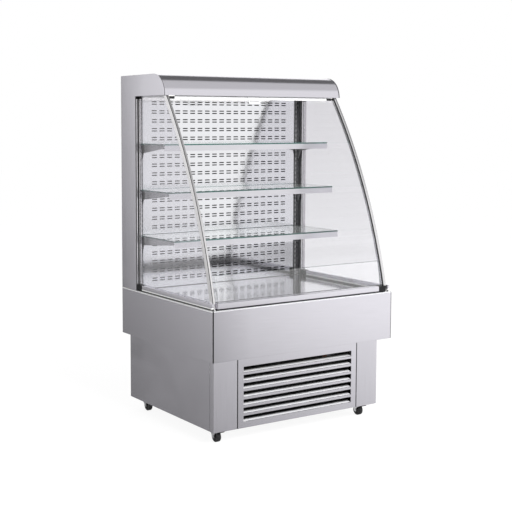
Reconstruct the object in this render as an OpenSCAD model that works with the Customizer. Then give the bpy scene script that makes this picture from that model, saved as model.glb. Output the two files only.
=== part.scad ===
// Open-front refrigerated display case: a machine base on four swivel casters,
// an insulated tub, three glass shelves and a curved canopy with a pull-down night blind.
// The front faces -Y, the flat back lies on +Y, and the floor is Z = 0.

/* [Overall] */
// Width of the tub, the columns and the canopy
case_width = 1000; // [900:10:1200]
// Depth from the tub front to the flat back
case_depth = 800; // [760:10:900]
// Height from the floor to the top of the canopy
case_height = 1610; // [1560:10:1700]
// Thickness of the outer steel sheet
sheet = 1.5; // [1:0.1:2]

/* [Machine base] */
// Height of the machine base
base_height = 320; // [300:5:360]
// Setback of the base sides from the tub sides
base_inset_side = 40; // [20:1:50]
// Setback of the base front from the tub front
base_inset_front = 52; // [20:1:70]
// Setback of the base rear edges from the back
base_inset_rear = 4; // [2:1:10]
// Width of a corner post on the front
post_face = 122; // [90:1:140]
// Width of a corner post where it returns onto the side
post_return = 32; // [20:1:45]
// Gap between neighbouring base panels
panel_gap = 2; // [1:0.1:3]
// Depth of the rear vent panel inside the rear edges
vent_recess = 16; // [14:1:24]

/* [Louvred grille] */
// Number of louvre openings
louvre_count = 7; // [5:1:9]
// Height of the flat strip between two openings
louvre_strip = 11; // [8:0.5:14]
// Frame width beside the openings
grille_margin_side = 34; // [25:1:50]
// Frame width above the openings
grille_margin_top = 48; // [40:1:60]
// Frame width below the openings
grille_margin_bottom = 28; // [20:1:40]
// Depth that the blades reach inward
louvre_depth = 32; // [20:1:40]
// Height that the blades climb over that depth
louvre_rise = 9; // [5:0.5:12]

/* [Casters] */
// Diameter of a caster wheel
wheel_diameter = 50; // [44:1:51]
// Width of a caster wheel
wheel_width = 23; // [18:0.5:26]
// Height from the floor to the underside of the base
caster_height = 61; // [60:0.5:66]
// Distance from the swivel axis to the wheel axle
caster_trail = 22; // [18:0.5:26]
// Distance of the swivel axes from the base sides
caster_side_inset = 56; // [45:1:80]
// Distance of the front swivel axes from the base front
caster_front_inset = 86; // [75:1:110]
// Distance of the rear swivel axes from the base rear
caster_rear_inset = 54; // [50:1:90]
// Radius of a caster axle
axle_radius = 4; // [3:0.5:5]
// Radial play of a pin that turns in its hole
running_play = 0.05; // [0.02:0.01:0.1]

/* [Tub] */
// Height of the tub
tub_height = 221; // [200:1:240]
// Thickness of the foam in the tub walls
tub_foam = 44; // [35:1:50]
// Gap between the front panel and the side panels of the tub
corner_gap = 2; // [1:0.1:3]
// Thickness of the liner, deck and inner sheets
liner_sheet = 1.2; // [0.8:0.1:1.5]

/* [Rails and front glass] */
// Shadow gap under the rails
rail_gap = 4; // [3:0.5:6]
// Height of the rails
rail_height = 26; // [22:1:32]
// Depth of the front rail
front_rail_depth = 31; // [26:1:36]
// Width of a side rail
side_rail_width = 28; // [26:0.5:32]
// Setback of the rails from the tub faces
rail_setback = 3; // [2:0.5:5]
// Width of the raised return-air grille
return_width = 44; // [36:1:60]
// Height of the front glass above the front rail
front_glass_height = 116; // [90:1:150]
// Lean of the front glass
front_glass_lean = 9.5; // [6:0.5:12]
// Thickness of the glass panes
glass_thickness = 6; // [5:0.5:8]
// Width of the dark block at the right end of the front rail
corner_block_width = 43; // [30:1:50]

/* [Columns and side glass] */
// Depth of the rear columns
column_depth = 138; // [130:1:170]
// Width of the column front that faces the customer
column_return = 25; // [22:0.5:28]
// Width of a curved front post of the side glass
glass_post_width = 14; // [12:0.5:14]
// Depth of a curved front post of the side glass
glass_post_depth = 24; // [20:0.5:28]
// Bow of the curved front posts over their chord
glass_post_bow = 48; // [35:1:60]
// Distance of the inner back panel in front of the flat back
inner_back_distance = 117; // [112:1:120]
// Width of the air duct behind the inner back panel
duct_width = 36; // [25:1:45]

/* [Canopy and night blind] */
// Height of the canopy and radius of its curved front
canopy_height = 98; // [95:1:110]
// Depth of the canopy
canopy_depth = 407; // [400:1:430]
// Setback of the canopy sheet from the edges of the end panels
cover_setback = 2; // [1:0.5:4]
// Radius of the blind roller
roller_radius = 18; // [15:0.5:18]
// Height of the blind's bottom bar
blind_bar_height = 13; // [11:0.5:15]
// Depth of the blind's bottom bar
blind_bar_depth = 18; // [14:0.5:20]

/* [Shelves and slotted back] */
// Pitch of the slots in the shelf uprights
slot_pitch = 24; // [24:0.5:25]
// Slots between two shelves
shelf_step = 9; // [8:1:9]
// Height of the lowest shelf surface above the deck
first_shelf_height = 260; // [235:1:265]
// Depth of the lowest shelf
bottom_shelf_depth = 315; // [290:1:330]
// Loss of depth from each shelf to the next one up
shelf_depth_step = 44.5; // [30:0.5:50]
// Thickness of the shelf glass
shelf_glass_thickness = 6; // [5:0.5:8]
// Height of a ticket strip
ticket_height = 25; // [20:1:30]
// Columns of slot pairs in the inner back panel
cell_columns = 19; // [15:1:21]
// Distance between the columns of slot pairs
cell_pitch_x = 41.9; // [38:0.1:43]
// Distance between the rows of slot pairs
cell_pitch_z = 41.9; // [40:0.1:48]
// Length of a slot in the inner back panel
cell_slot_length = 27; // [20:0.5:30]
// Height of a slot in the inner back panel
cell_slot_height = 5; // [3:0.5:6]
// Distance between the two slots of a pair
cell_pair_spacing = 11.4; // [10:0.2:14]

/* [Hidden] */

$fn = 64;
eps = 0.3;
half_width = case_width / 2;
front_y = -case_depth / 2;
back_y = case_depth / 2;
base_bottom = caster_height;
base_top = base_bottom + base_height;
tub_top = base_top + tub_height;
rail_bottom = tub_top + rail_gap;
rail_top = rail_bottom + rail_height;
base_half = half_width - base_inset_side;
base_front = front_y + base_inset_front;
base_rear = back_y - base_inset_rear;
post_inner = base_half - post_face;
vent_y = base_rear - vent_recess;

column_front = back_y - column_depth;
inner_back = back_y - inner_back_distance;
duct_back = inner_back + duct_width;
canopy_bottom = case_height - canopy_height;
canopy_front = back_y - canopy_depth;
canopy_centre_y = canopy_front + canopy_height;

glass_inner = half_width - column_return;
glass_outer = glass_inner + glass_thickness;
post_x0 = glass_inner + glass_thickness / 2 - glass_post_width / 2;
post_x1 = post_x0 + glass_post_width;
side_rail_outer = half_width - rail_setback;
side_rail_inner = side_rail_outer - side_rail_width;
front_rail_y0 = front_y + rail_setback;
front_rail_y1 = front_rail_y0 + front_rail_depth;
foot_y = front_y + 13;
side_rail_front = foot_y - 1;
rail_cap_length = 49;
side_rail_rear = column_front - eps - rail_cap_length;
channel_depth = 10;
channel_front = column_front - channel_depth;
channel_x0 = post_x0 - 1.5;
channel_x1 = half_width - 0.5;
channel_recess_x0 = post_x1;
channel_recess_x1 = post_x1 + 9;
post_corner = 3;
groove_play = 0.3;
groove_depth = 14;

// Curved front posts: an arc through a foot point and a head point.
foot_z = tub_top - sheet;
head_y = canopy_front + 7;
head_z = canopy_bottom;
chord = sqrt(pow(head_y - foot_y, 2) + pow(head_z - foot_z, 2));
post_arc_radius = chord * chord / (8 * glass_post_bow) + glass_post_bow / 2;
arc_lift = post_arc_radius - glass_post_bow;
arc_y = (foot_y + head_y) / 2 + arc_lift * (head_z - foot_z) / chord;
arc_z = (foot_z + head_z) / 2 - arc_lift * (head_y - foot_y) / chord;

// Louvres
grille_z0 = base_bottom;
grille_z1 = base_top - 1;
field_z0 = base_bottom + grille_margin_bottom;
field_z1 = base_top - grille_margin_top;
louvre_opening = (field_z1 - field_z0 - (louvre_count - 1) * louvre_strip) / louvre_count;
louvre_pitch = louvre_opening + louvre_strip;
field_half = post_inner - grille_margin_side;

// Casters
caster_spread = base_half - caster_side_inset;
caster_front_y = base_front + caster_front_inset;
caster_rear_y = base_rear - caster_rear_inset;
axle_z = wheel_diameter / 2;
leg_gap = 2.2;
leg_thickness = 2.5;
leg_x0 = wheel_width / 2 + leg_gap;
leg_x1 = leg_x0 + leg_thickness;
plate_thickness = 3;
plate_z = caster_height - plate_thickness;
crown_top = plate_z - 2.4;
crown_thickness = 2.5;
lever_pivot_y = -caster_trail - 20;
lever_pivot_z = crown_top - 6;
lever_pin_radius = 2;

// Tub interior
foam_z0 = base_top + sheet;
liner_top = tub_top - sheet;
foam_top = liner_top - liner_sheet;
well_half = half_width - sheet - tub_foam;
well_front = front_y + sheet + tub_foam;
well_rear = duct_back;
well_z = foam_z0 + tub_foam;
deck_half = side_rail_inner - 1;
deck_front = front_rail_y1 + return_width;
deck_rear = inner_back - 1;
fan_plate_y = front_y + 215;
evap_fan_x = 210;
evap_fan_radius = 56;
evap_hole_radius = 62;
evap_fan_z = (well_z + foam_top) / 2;
fan_shaft_radius = 3;
coil_y0 = fan_plate_y + 110;
coil_y1 = coil_y0 + 220;
coil_tube_pitch_y = 43;
coil_tube_pitch_z = 34;
coil_half = well_half - 42;

// Machine compartment
cond_half = 190;
cond_y0 = base_front + 70;
cond_depth = 56;
cond_z0 = base_bottom + sheet;
cond_height = 270;
cond_zc = cond_z0 + cond_height / 2;
shroud_y0 = cond_y0 + cond_depth;
shroud_depth = 50;
cond_fan_radius = 100;
cond_hole_radius = 108;
cond_fan_y = shroud_y0 + shroud_depth - 6;
motor_y0 = cond_fan_y + 16;
motor_radius = 38;
comp_x = 210;
comp_y = base_rear - 206;
comp_radius = 78;
comp_foot_z = base_bottom + sheet;
comp_base = 25;
pan_lip = 22;
tube_radius = 5;
elbow_radius = tube_radius + 1;
switch_x = -250;
display_x = -330;
control_z = base_bottom + 235;
switch_half_w = 7;
switch_half_h = 11;
switch_tilt = 8;

// Slots of the shelf uprights
shelf_bottom_z = tub_top + first_shelf_height;
shelf_pitch = slot_pitch * shelf_step;
upright_z0 = tub_top + 2;
upright_z1 = canopy_bottom - 2;
upright_width = 28;
slot_height = 12;
slot_width = 5;
bracket_drop = 40;
bracket_tail = 80;
bracket_root = 30;
slot_phase = shelf_bottom_z - shelf_glass_thickness - 12;
slots_below = floor((slot_phase - upright_z0 - 12) / slot_pitch);
slots_above = floor((upright_z1 - slot_phase - 12) / slot_pitch);
bracket_x = glass_inner - 16.5;
bracket_thickness = 3;
shelf_half = glass_inner - 10;
shelf_rear = inner_back - 12;
cell_x0 = -5.3;
cell_z0 = tub_top + 43;
cell_half_pair = (cell_pair_spacing + cell_slot_height) / 2;
cell_rows = floor((canopy_bottom - cell_z0 - 7 - cell_half_pair) / cell_pitch_z) + 1;

// Canopy interior
hem_depth = 13;
blind_y = canopy_front + 31;
bar_top = canopy_bottom - 2;
bar_half = post_x0 - 5;
bar_end_length = 32;
handle_half = 37;
handle_depth = 4;
handle_drop = 17;
roller_y = blind_y + roller_radius + eps;
roller_z = canopy_bottom + 36;
roller_half = glass_inner - 6;
web_half = bar_half - bar_end_length - 6;
web_thickness = 0.6;
pin_radius = 4;
led_y = blind_y + 32;
led_radius = 8;
comb_y0 = led_y + 14;
comb_y1 = comb_y0 + 40;
ceiling_half = post_x0 - 0.5;
duct_top = canopy_bottom + 62;

// Shared shapes

// A block between two corners.
module block(x0, x1, y0, y1, z0, z1) {
  translate([x0, y0, z0]) cube([x1 - x0, y1 - y0, z1 - z0]);
}

// An outline drawn in Y and Z, stretched from x0 to x1.
module along_x(x0, x1) {
  translate([x0, 0, 0]) rotate([90, 0, 90]) linear_extrude(x1 - x0) children();
}

// An outline drawn in X and Z, stretched from y0 to y1.
module along_y(y0, y1) {
  translate([0, y1, 0]) rotate([90, 0, 0]) linear_extrude(y1 - y0) children();
}

// A round bar along X.
module rod_x(x0, x1, y, z, r) {
  translate([x0, y, z]) rotate([0, 90, 0]) cylinder(h = x1 - x0, r = r);
}

// A round bar along Y.
module rod_y(x, y0, y1, z, r) {
  translate([x, y0, z]) rotate([-90, 0, 0]) cylinder(h = y1 - y0, r = r);
}

// Both of a mirrored pair.
module pair() {
  children();
  mirror([1, 0, 0]) children();
}

// Machine base

module base_pan() {
  color("silver") difference() {
    union() {
      block(-base_half + sheet, base_half - sheet, base_front + 12, vent_y,
            base_bottom, base_bottom + sheet);
      pair() block(base_half - 2 * sheet, base_half - sheet, base_front + post_return + panel_gap, vent_y,
                   base_bottom, base_bottom + pan_lip);
      block(-base_half + 2 * sheet, base_half - 2 * sheet, vent_y - sheet, vent_y,
            base_bottom, base_bottom + pan_lip);
    }
    for (i = [-3:3])
      block(i * 60 - 20, i * 60 + 20, 0, 6, base_bottom - 1, base_bottom + sheet + 1);
  }
}

module base_side_panels() {
  color("silver") pair() {
    block(base_half - sheet, base_half, base_front + post_return + panel_gap, base_rear,
          base_bottom, base_top);
    block(base_half - 20, base_half - sheet, base_rear - sheet, base_rear, base_bottom, base_top);
  }
}

module base_posts() {
  color("silver") pair() {
    block(post_inner, base_half, base_front, base_front + sheet, base_bottom, base_top);
    block(base_half - sheet, base_half, base_front, base_front + post_return, base_bottom, base_top);
    block(post_inner, post_inner + sheet, base_front, base_front + 12, base_bottom, base_top);
    block(post_inner, base_half - 2 * sheet, base_front + 12 - sheet, base_front + 12,
          base_bottom, base_bottom + 30);
  }
}

module front_grille() {
  color("silver") {
    along_y(base_front, base_front + sheet) difference() {
      translate([-post_inner + panel_gap, grille_z0])
        square([2 * (post_inner - panel_gap), grille_z1 - grille_z0]);
      for (i = [0:louvre_count - 1])
        translate([-field_half, field_z0 + i * louvre_pitch]) square([2 * field_half, louvre_opening]);
    }
    for (i = [0:louvre_count - 1])
      along_x(-field_half, field_half) translate([base_front, field_z0 + i * louvre_pitch])
        polygon([[0, 0], [0, -sheet], [sheet, -sheet], [louvre_depth, louvre_rise - sheet],
                 [louvre_depth, louvre_rise], [sheet, sheet * louvre_rise / louvre_depth]]);
    pair() block(post_inner - panel_gap - sheet, post_inner - panel_gap, base_front, base_front + 12,
                 grille_z0, grille_z1);
    for (z = [grille_z0, grille_z1 - sheet])
      block(-post_inner + panel_gap, post_inner - panel_gap, base_front, base_front + 12, z, z + sheet);
  }
}

module rear_vent_panel() {
  color("silver") {
    along_y(vent_y, vent_y + sheet) difference() {
      translate([-base_half + sheet, base_bottom]) square([2 * (base_half - sheet), base_height]);
      for (i = [0:6], j = [0:4])
        translate([-60 + j * 88, base_bottom + 60 + i * 26]) square([70, 8]);
      translate([display_x - 34, control_z - 14]) square([68, 28]);
      translate([switch_x - 11, control_z - 14]) square([22, 28]);
      translate([-300, base_bottom + 90]) circle(r = 9);
    }
  }
}

module compressor() {
  color("dimgray") translate([comp_x, comp_y, comp_foot_z]) {
    rotate_extrude()
      polygon([[0, comp_base], [comp_radius + 5, comp_base], [comp_radius + 5, comp_base + 7],
               [comp_radius, comp_base + 7], [comp_radius, 116], [comp_radius - 8, 136],
               [comp_radius - 30, 148], [0, 148]]);
    for (a = [45:90:315]) rotate(a) {
      translate([comp_radius - 18, -14, comp_base - 3]) cube([46, 28, 4.5]);
      translate([comp_radius + 16, 0, 0]) cylinder(h = comp_base - 2, r = 10);
    }
    translate([30, 0, 100]) cylinder(h = 70, r = 6);
    translate([-comp_radius - 22, -24, 52]) cube([40, 48, 50]);
  }
}

module condenser_coil() {
  color("darkgray") {
    for (i = [0:18])
      block(-cond_half + 9.5 + i * 20, -cond_half + 10.5 + i * 20, cond_y0 + 4, cond_y0 + cond_depth - 4,
            cond_z0 + 6, cond_z0 + cond_height - 6);
    pair() block(cond_half - 1.5, cond_half, cond_y0, cond_y0 + cond_depth, cond_z0, cond_z0 + cond_height);
    for (i = [0:4], j = [0, 1])
      rod_x(-cond_half - 8, cond_half + 8, cond_y0 + 16 + j * 24, cond_z0 + 35 + i * 50, 5);
  }
}

module condenser_shroud() {
  color("dimgray") {
    along_y(shroud_y0 + shroud_depth - 12, shroud_y0 + shroud_depth - 10.5) difference() {
      translate([-cond_half, cond_z0]) square([2 * cond_half, cond_height]);
      translate([0, cond_zc]) circle(r = cond_hole_radius, $fn = 96);
    }
    along_y(shroud_y0, shroud_y0 + shroud_depth - 12) difference() {
      translate([-cond_half, cond_z0]) square([2 * cond_half, cond_height]);
      translate([-cond_half + sheet, cond_z0 + sheet])
        square([2 * cond_half - 2 * sheet, cond_height - 2 * sheet]);
    }
    pair() block(cond_half - 70, cond_half - 67, shroud_y0 + shroud_depth - 10.5, motor_y0 + 12,
                 cond_zc - 10, cond_zc + 10);
    along_y(motor_y0 + 12, motor_y0 + 15) difference() {
      translate([-cond_half + 67, cond_zc - 10]) square([2 * cond_half - 134, 20]);
      translate([0, cond_zc]) circle(r = motor_radius);
    }
  }
}

module condenser_fan_motor() {
  color("black") {
    rod_y(0, motor_y0, motor_y0 + 50, cond_zc, motor_radius - eps);
    rod_y(0, cond_fan_y - 14, motor_y0, cond_zc, fan_shaft_radius);
  }
}

// A fan on a Y axis with flat pitched blades.
module fan(x, y, z, r, hub, blades, pitch) {
  translate([x, y, z]) rotate([-90, 0, 0]) difference() {
    union() {
      translate([0, 0, -10]) cylinder(h = 20, r = hub);
      intersection() {
        for (i = [0:blades - 1]) rotate(i * 360 / blades)
          translate([hub - 4, 0, 0]) rotate([pitch, 0, 0]) translate([0, -r * 0.24, -0.8])
            cube([r, r * 0.48, 1.6]);
        translate([0, 0, -20]) cylinder(h = 40, r = r, $fn = 96);
      }
    }
    translate([0, 0, -11]) cylinder(h = 22, r = fan_shaft_radius + running_play);
  }
}

module condenser_fan() {
  color("gray") fan(0, cond_fan_y, cond_zc, cond_fan_radius, 26, 5, 28);
}

module refrigerant_lines() {
  color("peru") {
    rod_x(cond_half + 8, comp_x + 30, cond_y0 + 40, cond_z0 + 235, tube_radius);
    translate([comp_x + 30, cond_y0 + 40, cond_z0 + 235]) sphere(r = elbow_radius);
    rod_y(comp_x + 30, cond_y0 + 40, comp_y, cond_z0 + 235, tube_radius);
    translate([comp_x + 30, comp_y, cond_z0 + 235]) sphere(r = elbow_radius);
    translate([comp_x + 30, comp_y, comp_foot_z + 170])
      cylinder(h = cond_z0 + 65 - comp_foot_z, r = tube_radius);
  }
  color("peru") {
    rod_x(-cond_half - 50, -cond_half - 8, cond_y0 + 16, cond_z0 + 35, tube_radius);
    translate([-cond_half - 50, cond_y0 + 16, cond_z0 + 35]) sphere(r = elbow_radius);
    rod_y(-cond_half - 50, cond_y0 + 16, 250, cond_z0 + 35, tube_radius);
    rod_y(-cond_half - 50, 20, 130, cond_z0 + 35, 14);
    translate([-cond_half - 50, 250, cond_z0 + 35]) sphere(r = elbow_radius);
    translate([-cond_half - 50, 250, cond_z0 + 35]) cylinder(h = foam_z0 - cond_z0 - 35, r = tube_radius);
  }
}

module control_panel() {
  color("black") difference() {
    union() {
      block(display_x - 33.5, display_x + 33.5, vent_y - 50, vent_y + sheet,
            control_z - 13.5, control_z + 13.5);
      block(display_x - 38, display_x + 38, vent_y + sheet, vent_y + sheet + 4,
            control_z - 17, control_z + 17);
      block(switch_x - 10.5, switch_x + 10.5, vent_y - 24, vent_y + sheet,
            control_z - 13.5, control_z + 13.5);
      block(switch_x - 14, switch_x + 14, vent_y + sheet, vent_y + sheet + 2,
            control_z - 17, control_z + 17);
    }
    block(display_x - 28, display_x + 10, vent_y + sheet + 3, vent_y + 20, control_z - 10, control_z + 10);
    for (i = [0:3])
      block(display_x + 14 + (i % 2) * 9, display_x + 21 + (i % 2) * 9, vent_y + sheet + 3.4, vent_y + 20,
            control_z - 9 + floor(i / 2) * 10, control_z - 1 + floor(i / 2) * 10);
    block(switch_x - switch_half_w - 0.5, switch_x + switch_half_w + 0.5, vent_y - 12, vent_y + 20,
          control_z - switch_half_h - 0.6, control_z + switch_half_h + 0.6);
    rod_x(switch_x - 9, switch_x + 9, vent_y - 1, control_z, 1.5 + running_play);
  }
}

module power_switch() {
  color("red") {
    along_x(switch_x - switch_half_w, switch_x + switch_half_w)
      translate([vent_y - 1, control_z]) rotate(-switch_tilt)
        polygon([[-6, -5], [-6, 5], [1.5, 10.2], [5.9, 10.2], [4.6, 0], [5.9, -10.2], [1.5, -10.2]]);
    rod_x(switch_x - 8.8, switch_x + 8.8, vent_y - 1, control_z, 1.5);
  }
}

// Casters, drawn with the swivel axis on Z and the wheel trailing towards -Y

module caster_plate() {
  difference() {
    union() {
      translate([-30, -28, plate_z]) cube([60, 56, plate_thickness]);
      translate([0, 0, crown_top + eps]) cylinder(h = plate_z - crown_top - eps, r = 19);
    }
    translate([0, 0, crown_top - 1]) cylinder(h = 20, r = 5 + running_play);
    for (x = [-22, 22], y = [-20, 20])
      translate([x, y, plate_z - 1]) cylinder(h = 10, r = 3.2);
  }
}

module caster_fork(has_brake) {
  difference() {
    union() {
      translate([0, 0, crown_top - crown_thickness]) cylinder(h = crown_thickness, r = 19);
      translate([-leg_x1, -caster_trail - 2, crown_top - crown_thickness])
        cube([2 * leg_x1, caster_trail + 8, crown_thickness]);
      translate([0, 0, crown_top - 1]) cylinder(h = plate_z + plate_thickness - 0.4 - crown_top + 1, r = 5);
      for (s = [0, 1]) mirror([s, 0, 0]) along_x(leg_x0, leg_x1)
        polygon([[6, crown_top], [-caster_trail - 2, crown_top], [-caster_trail - 7, axle_z - 2],
                 [-caster_trail - 4, axle_z - 7], [-caster_trail + 4, axle_z - 7],
                 [-caster_trail + 7, axle_z - 2], [6, crown_top - 8]]);
      if (has_brake) for (s = [0, 1]) mirror([s, 0, 0]) along_x(leg_x0, leg_x1)
        polygon([[-caster_trail + 2, crown_top], [lever_pivot_y - 4, crown_top - 1],
                 [lever_pivot_y - 5, lever_pivot_z - 3], [lever_pivot_y + 2, lever_pivot_z - 5],
                 [-caster_trail - 5, axle_z + 8]]);
      rod_x(-leg_x1, leg_x1, -caster_trail, axle_z, axle_radius);
      rod_x(leg_x1, leg_x1 + 3, -caster_trail, axle_z, axle_radius + 2.5);
      rod_x(-leg_x1 - 3, -leg_x1, -caster_trail, axle_z, axle_radius + 2.5);
    }
    if (has_brake)
      rod_x(-leg_x1 - 1, leg_x1 + 1, lever_pivot_y, lever_pivot_z, lever_pin_radius + running_play);
  }
}

module caster_wheel() {
  translate([0, -caster_trail, axle_z]) rotate([0, 90, 0]) rotate_extrude() difference() {
    union() {
      square([wheel_diameter / 2 - 3, wheel_width], center = false);
      translate([0, 3]) square([wheel_diameter / 2, wheel_width - 6]);
      translate([wheel_diameter / 2 - 3, 3]) circle(r = 3, $fn = 32);
      translate([wheel_diameter / 2 - 3, wheel_width - 3]) circle(r = 3, $fn = 32);
    }
    translate([-1, -1]) square([axle_radius + running_play + 1, wheel_width + 2]);
    translate([wheel_diameter / 2 - 13, -1]) square([5, 3.5]);
    translate([wheel_diameter / 2 - 13, wheel_width - 2.5]) square([5, 3.5]);
  }
}

module brake_lever_shape() {
  rod_x(-leg_x1 - 1, leg_x1 + 1, lever_pivot_y, lever_pivot_z, lever_pin_radius);
  rod_x(-leg_x0 + 1, leg_x0 - 1, lever_pivot_y, lever_pivot_z, lever_pin_radius + 2);
  along_x(-leg_x0 + 1, leg_x0 - 1)
    polygon([[lever_pivot_y, lever_pivot_z - 4], [lever_pivot_y - 24, lever_pivot_z + 1],
             [lever_pivot_y - 27, lever_pivot_z + 3.5], [lever_pivot_y - 24, lever_pivot_z + 5],
             [lever_pivot_y, lever_pivot_z + 4]]);
}

// One of the four corners: front or rear (f, r), then left or right (l, r).
module at_caster(corner) {
  translate([corner[1] == "l" ? -caster_spread : caster_spread,
             corner[0] == "f" ? caster_front_y : caster_rear_y, 0]) children();
}

module caster_plates() {
  color("silver") for (c = ["fl", "fr", "rl", "rr"]) at_caster(c) caster_plate();
}
module caster_fork_fl() { color("silver") at_caster("fl") caster_fork(true); }
module caster_fork_fr() { color("silver") at_caster("fr") caster_fork(true); }
module caster_fork_rl() { color("silver") at_caster("rl") caster_fork(false); }
module caster_fork_rr() { color("silver") at_caster("rr") caster_fork(false); }
module caster_wheel_at(c) {
  color("black") at_caster(c) translate([-wheel_width / 2, 0, 0]) caster_wheel();
}
module caster_wheel_fl() { caster_wheel_at("fl"); }
module caster_wheel_fr() { caster_wheel_at("fr"); }
module caster_wheel_rl() { caster_wheel_at("rl"); }
module caster_wheel_rr() { caster_wheel_at("rr"); }
module brake_lever_left() { color("black") at_caster("fl") brake_lever_shape(); }
module brake_lever_right() { color("black") at_caster("fr") brake_lever_shape(); }

// Tub

module tub_front_panel() {
  x1 = half_width - sheet - corner_gap;
  color("silver") {
    block(-x1, x1, front_y, front_y + sheet, base_top, tub_top);
    block(-x1, x1, front_y, front_y + 10, liner_top, tub_top);
    block(-x1, x1, front_y, base_front + 40, base_top, foam_z0);
  }
}

module tub_side_panels() {
  color("silver") pair() {
    block(half_width - sheet, half_width, front_y, back_y - sheet, base_top, tub_top);
    block(half_width - 10, half_width, front_y + 11, back_y - sheet, liner_top, tub_top);
    block(base_half - 20, half_width, base_front + 42, back_y - sheet, base_top, foam_z0);
  }
}

module tub_insulation() {
  color("khaki") difference() {
    block(-half_width + sheet, half_width - sheet, front_y + sheet, back_y - sheet, foam_z0, foam_top);
    block(-well_half, well_half, well_front, well_rear, well_z, foam_top + 1);
  }
}

module tub_liner() {
  color("gainsboro") difference() {
    union() {
      block(-well_half, well_half, well_front, well_rear, well_z, foam_top);
      block(-half_width + 10, half_width - 10, front_y + 10, well_rear, foam_top, liner_top);
    }
    block(-well_half + liner_sheet, well_half - liner_sheet, well_front + liner_sheet,
          well_rear - liner_sheet, well_z + liner_sheet, liner_top + 1);
  }
}

module evaporator_coil() {
  color("darkgray") {
    for (i = [0:20])
      translate([-coil_half + i * coil_half / 10 - 0.5, coil_y0, well_z + 14])
        cube([1, coil_y1 - coil_y0, foam_top - well_z - 30]);
    for (i = [0:4], j = [0:2])
      rod_x(-coil_half - 12, coil_half + 12, coil_y0 + 24 + i * coil_tube_pitch_y,
            well_z + 36 + j * coil_tube_pitch_z, 6);
    pair() block(coil_half, coil_half + 3, coil_y0 - 6, coil_y1 + 6, well_z + liner_sheet, foam_top - 10);
  }
}

module evaporator_fan_plate() {
  color("silver") {
    along_y(fan_plate_y, fan_plate_y + sheet) difference() {
      translate([-well_half + liner_sheet, well_z + liner_sheet])
        square([2 * (well_half - liner_sheet), foam_top - well_z - liner_sheet]);
      for (x = [-evap_fan_x, evap_fan_x]) translate([x, evap_fan_z]) circle(r = evap_hole_radius, $fn = 96);
    }
    for (x = [-evap_fan_x, evap_fan_x]) {
      rod_y(x, fan_plate_y + 30, fan_plate_y + 66, evap_fan_z, 24);
      rod_y(x, fan_plate_y - 13, fan_plate_y + 31, evap_fan_z, fan_shaft_radius);
      for (s = [-1, 1]) {
        block(x + s * 72 - 1.5, x + s * 72 + 1.5, fan_plate_y + sheet, fan_plate_y + 40,
              evap_fan_z - 8, evap_fan_z + 8);
        block(s < 0 ? x - 73.5 : x + 20, s < 0 ? x - 20 : x + 73.5, fan_plate_y + 37, fan_plate_y + 40,
              evap_fan_z - 8, evap_fan_z + 8);
      }
    }
  }
}

module evaporator_fan_left() {
  color("gray") fan(-evap_fan_x, fan_plate_y, evap_fan_z, evap_fan_radius, 18, 5, 25);
}
module evaporator_fan_right() {
  color("gray") fan(evap_fan_x, fan_plate_y, evap_fan_z, evap_fan_radius, 18, 5, 25);
}

module deck_plates() {
  color("gainsboro") pair() {
    block(0.5, deck_half, deck_front + 0.5, deck_rear, liner_top, tub_top);
    block(0.5, deck_half - 26, deck_front + 2, deck_front + 3.2, liner_top - 8, liner_top);
  }
}

module return_grille() {
  x1 = deck_half;
  n = floor((2 * x1 - 20) / 12);
  color("gainsboro") {
    difference() {
      block(-x1, x1, front_rail_y1, deck_front, rail_top - 6 - liner_sheet, rail_top - 6);
      translate([0, 0, rail_top - 9]) linear_extrude(4)
        for (i = [0:n - 1], j = [0:2])
          translate([-(n - 1) * 6 + i * 12 - 3.5, front_rail_y1 + 9 + j * 11]) square([7, 6]);
    }
    block(-x1, x1, deck_front - liner_sheet, deck_front, liner_top, rail_top - 6);
    block(-x1, x1, front_rail_y1, front_rail_y1 + liner_sheet, rail_bottom + 2, rail_top - 6);
  }
}

// Rails, front glass and caps

// The leaning front pane, grown by play on each face.
module front_pane(play) {
  x1 = side_rail_inner - 14;
  translate([0, front_rail_y1 - 8, rail_top - groove_depth - play]) rotate([-front_glass_lean, 0, 0])
    translate([-x1 - play, -glass_thickness / 2 - play, 0])
      cube([2 * x1 + 2 * play, glass_thickness + 2 * play, front_glass_height + groove_depth + play]);
}

module front_rail() {
  x0 = -post_x0 + eps;
  x1 = side_rail_inner - 0.5 - corner_block_width;
  color("gainsboro") difference() {
    union() {
      block(x0, x1, front_rail_y0, front_rail_y1, rail_bottom, rail_top);
      block(x0, x1, front_rail_y0 + 8, front_rail_y1, liner_top, rail_bottom);
    }
    front_pane(groove_play);
  }
}

// The leaning and bowed outline of a front post, between two radii.
module post_band(r0, r1, z0, z1) {
  intersection() {
    translate([arc_y, arc_z]) difference() {
      circle(r = r1, $fn = 360);
      circle(r = r0, $fn = 360);
    }
    translate([front_y, z0]) square([case_depth, z1 - z0]);
  }
}

// One length of side rail, with the groove for the glass.
module rail_length(y0, y1) {
  difference() {
    union() {
      block(side_rail_inner, side_rail_outer, y0, y1, rail_bottom, rail_top);
      block(side_rail_inner, side_rail_outer - 8, y0, y1, liner_top, rail_bottom);
    }
    block(glass_inner - groove_play, glass_outer + groove_play, front_y, back_y,
          rail_top - groove_depth, rail_top + 1);
  }
}

module side_rails() {
  color("gainsboro") pair() difference() {
    rail_length(side_rail_front, side_rail_rear);
    along_x(side_rail_inner - 1, post_x1 + eps)
      post_band(post_arc_radius - glass_post_depth - eps, post_arc_radius + 20,
                liner_top - 1, rail_top + 1);
  }
}

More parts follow.
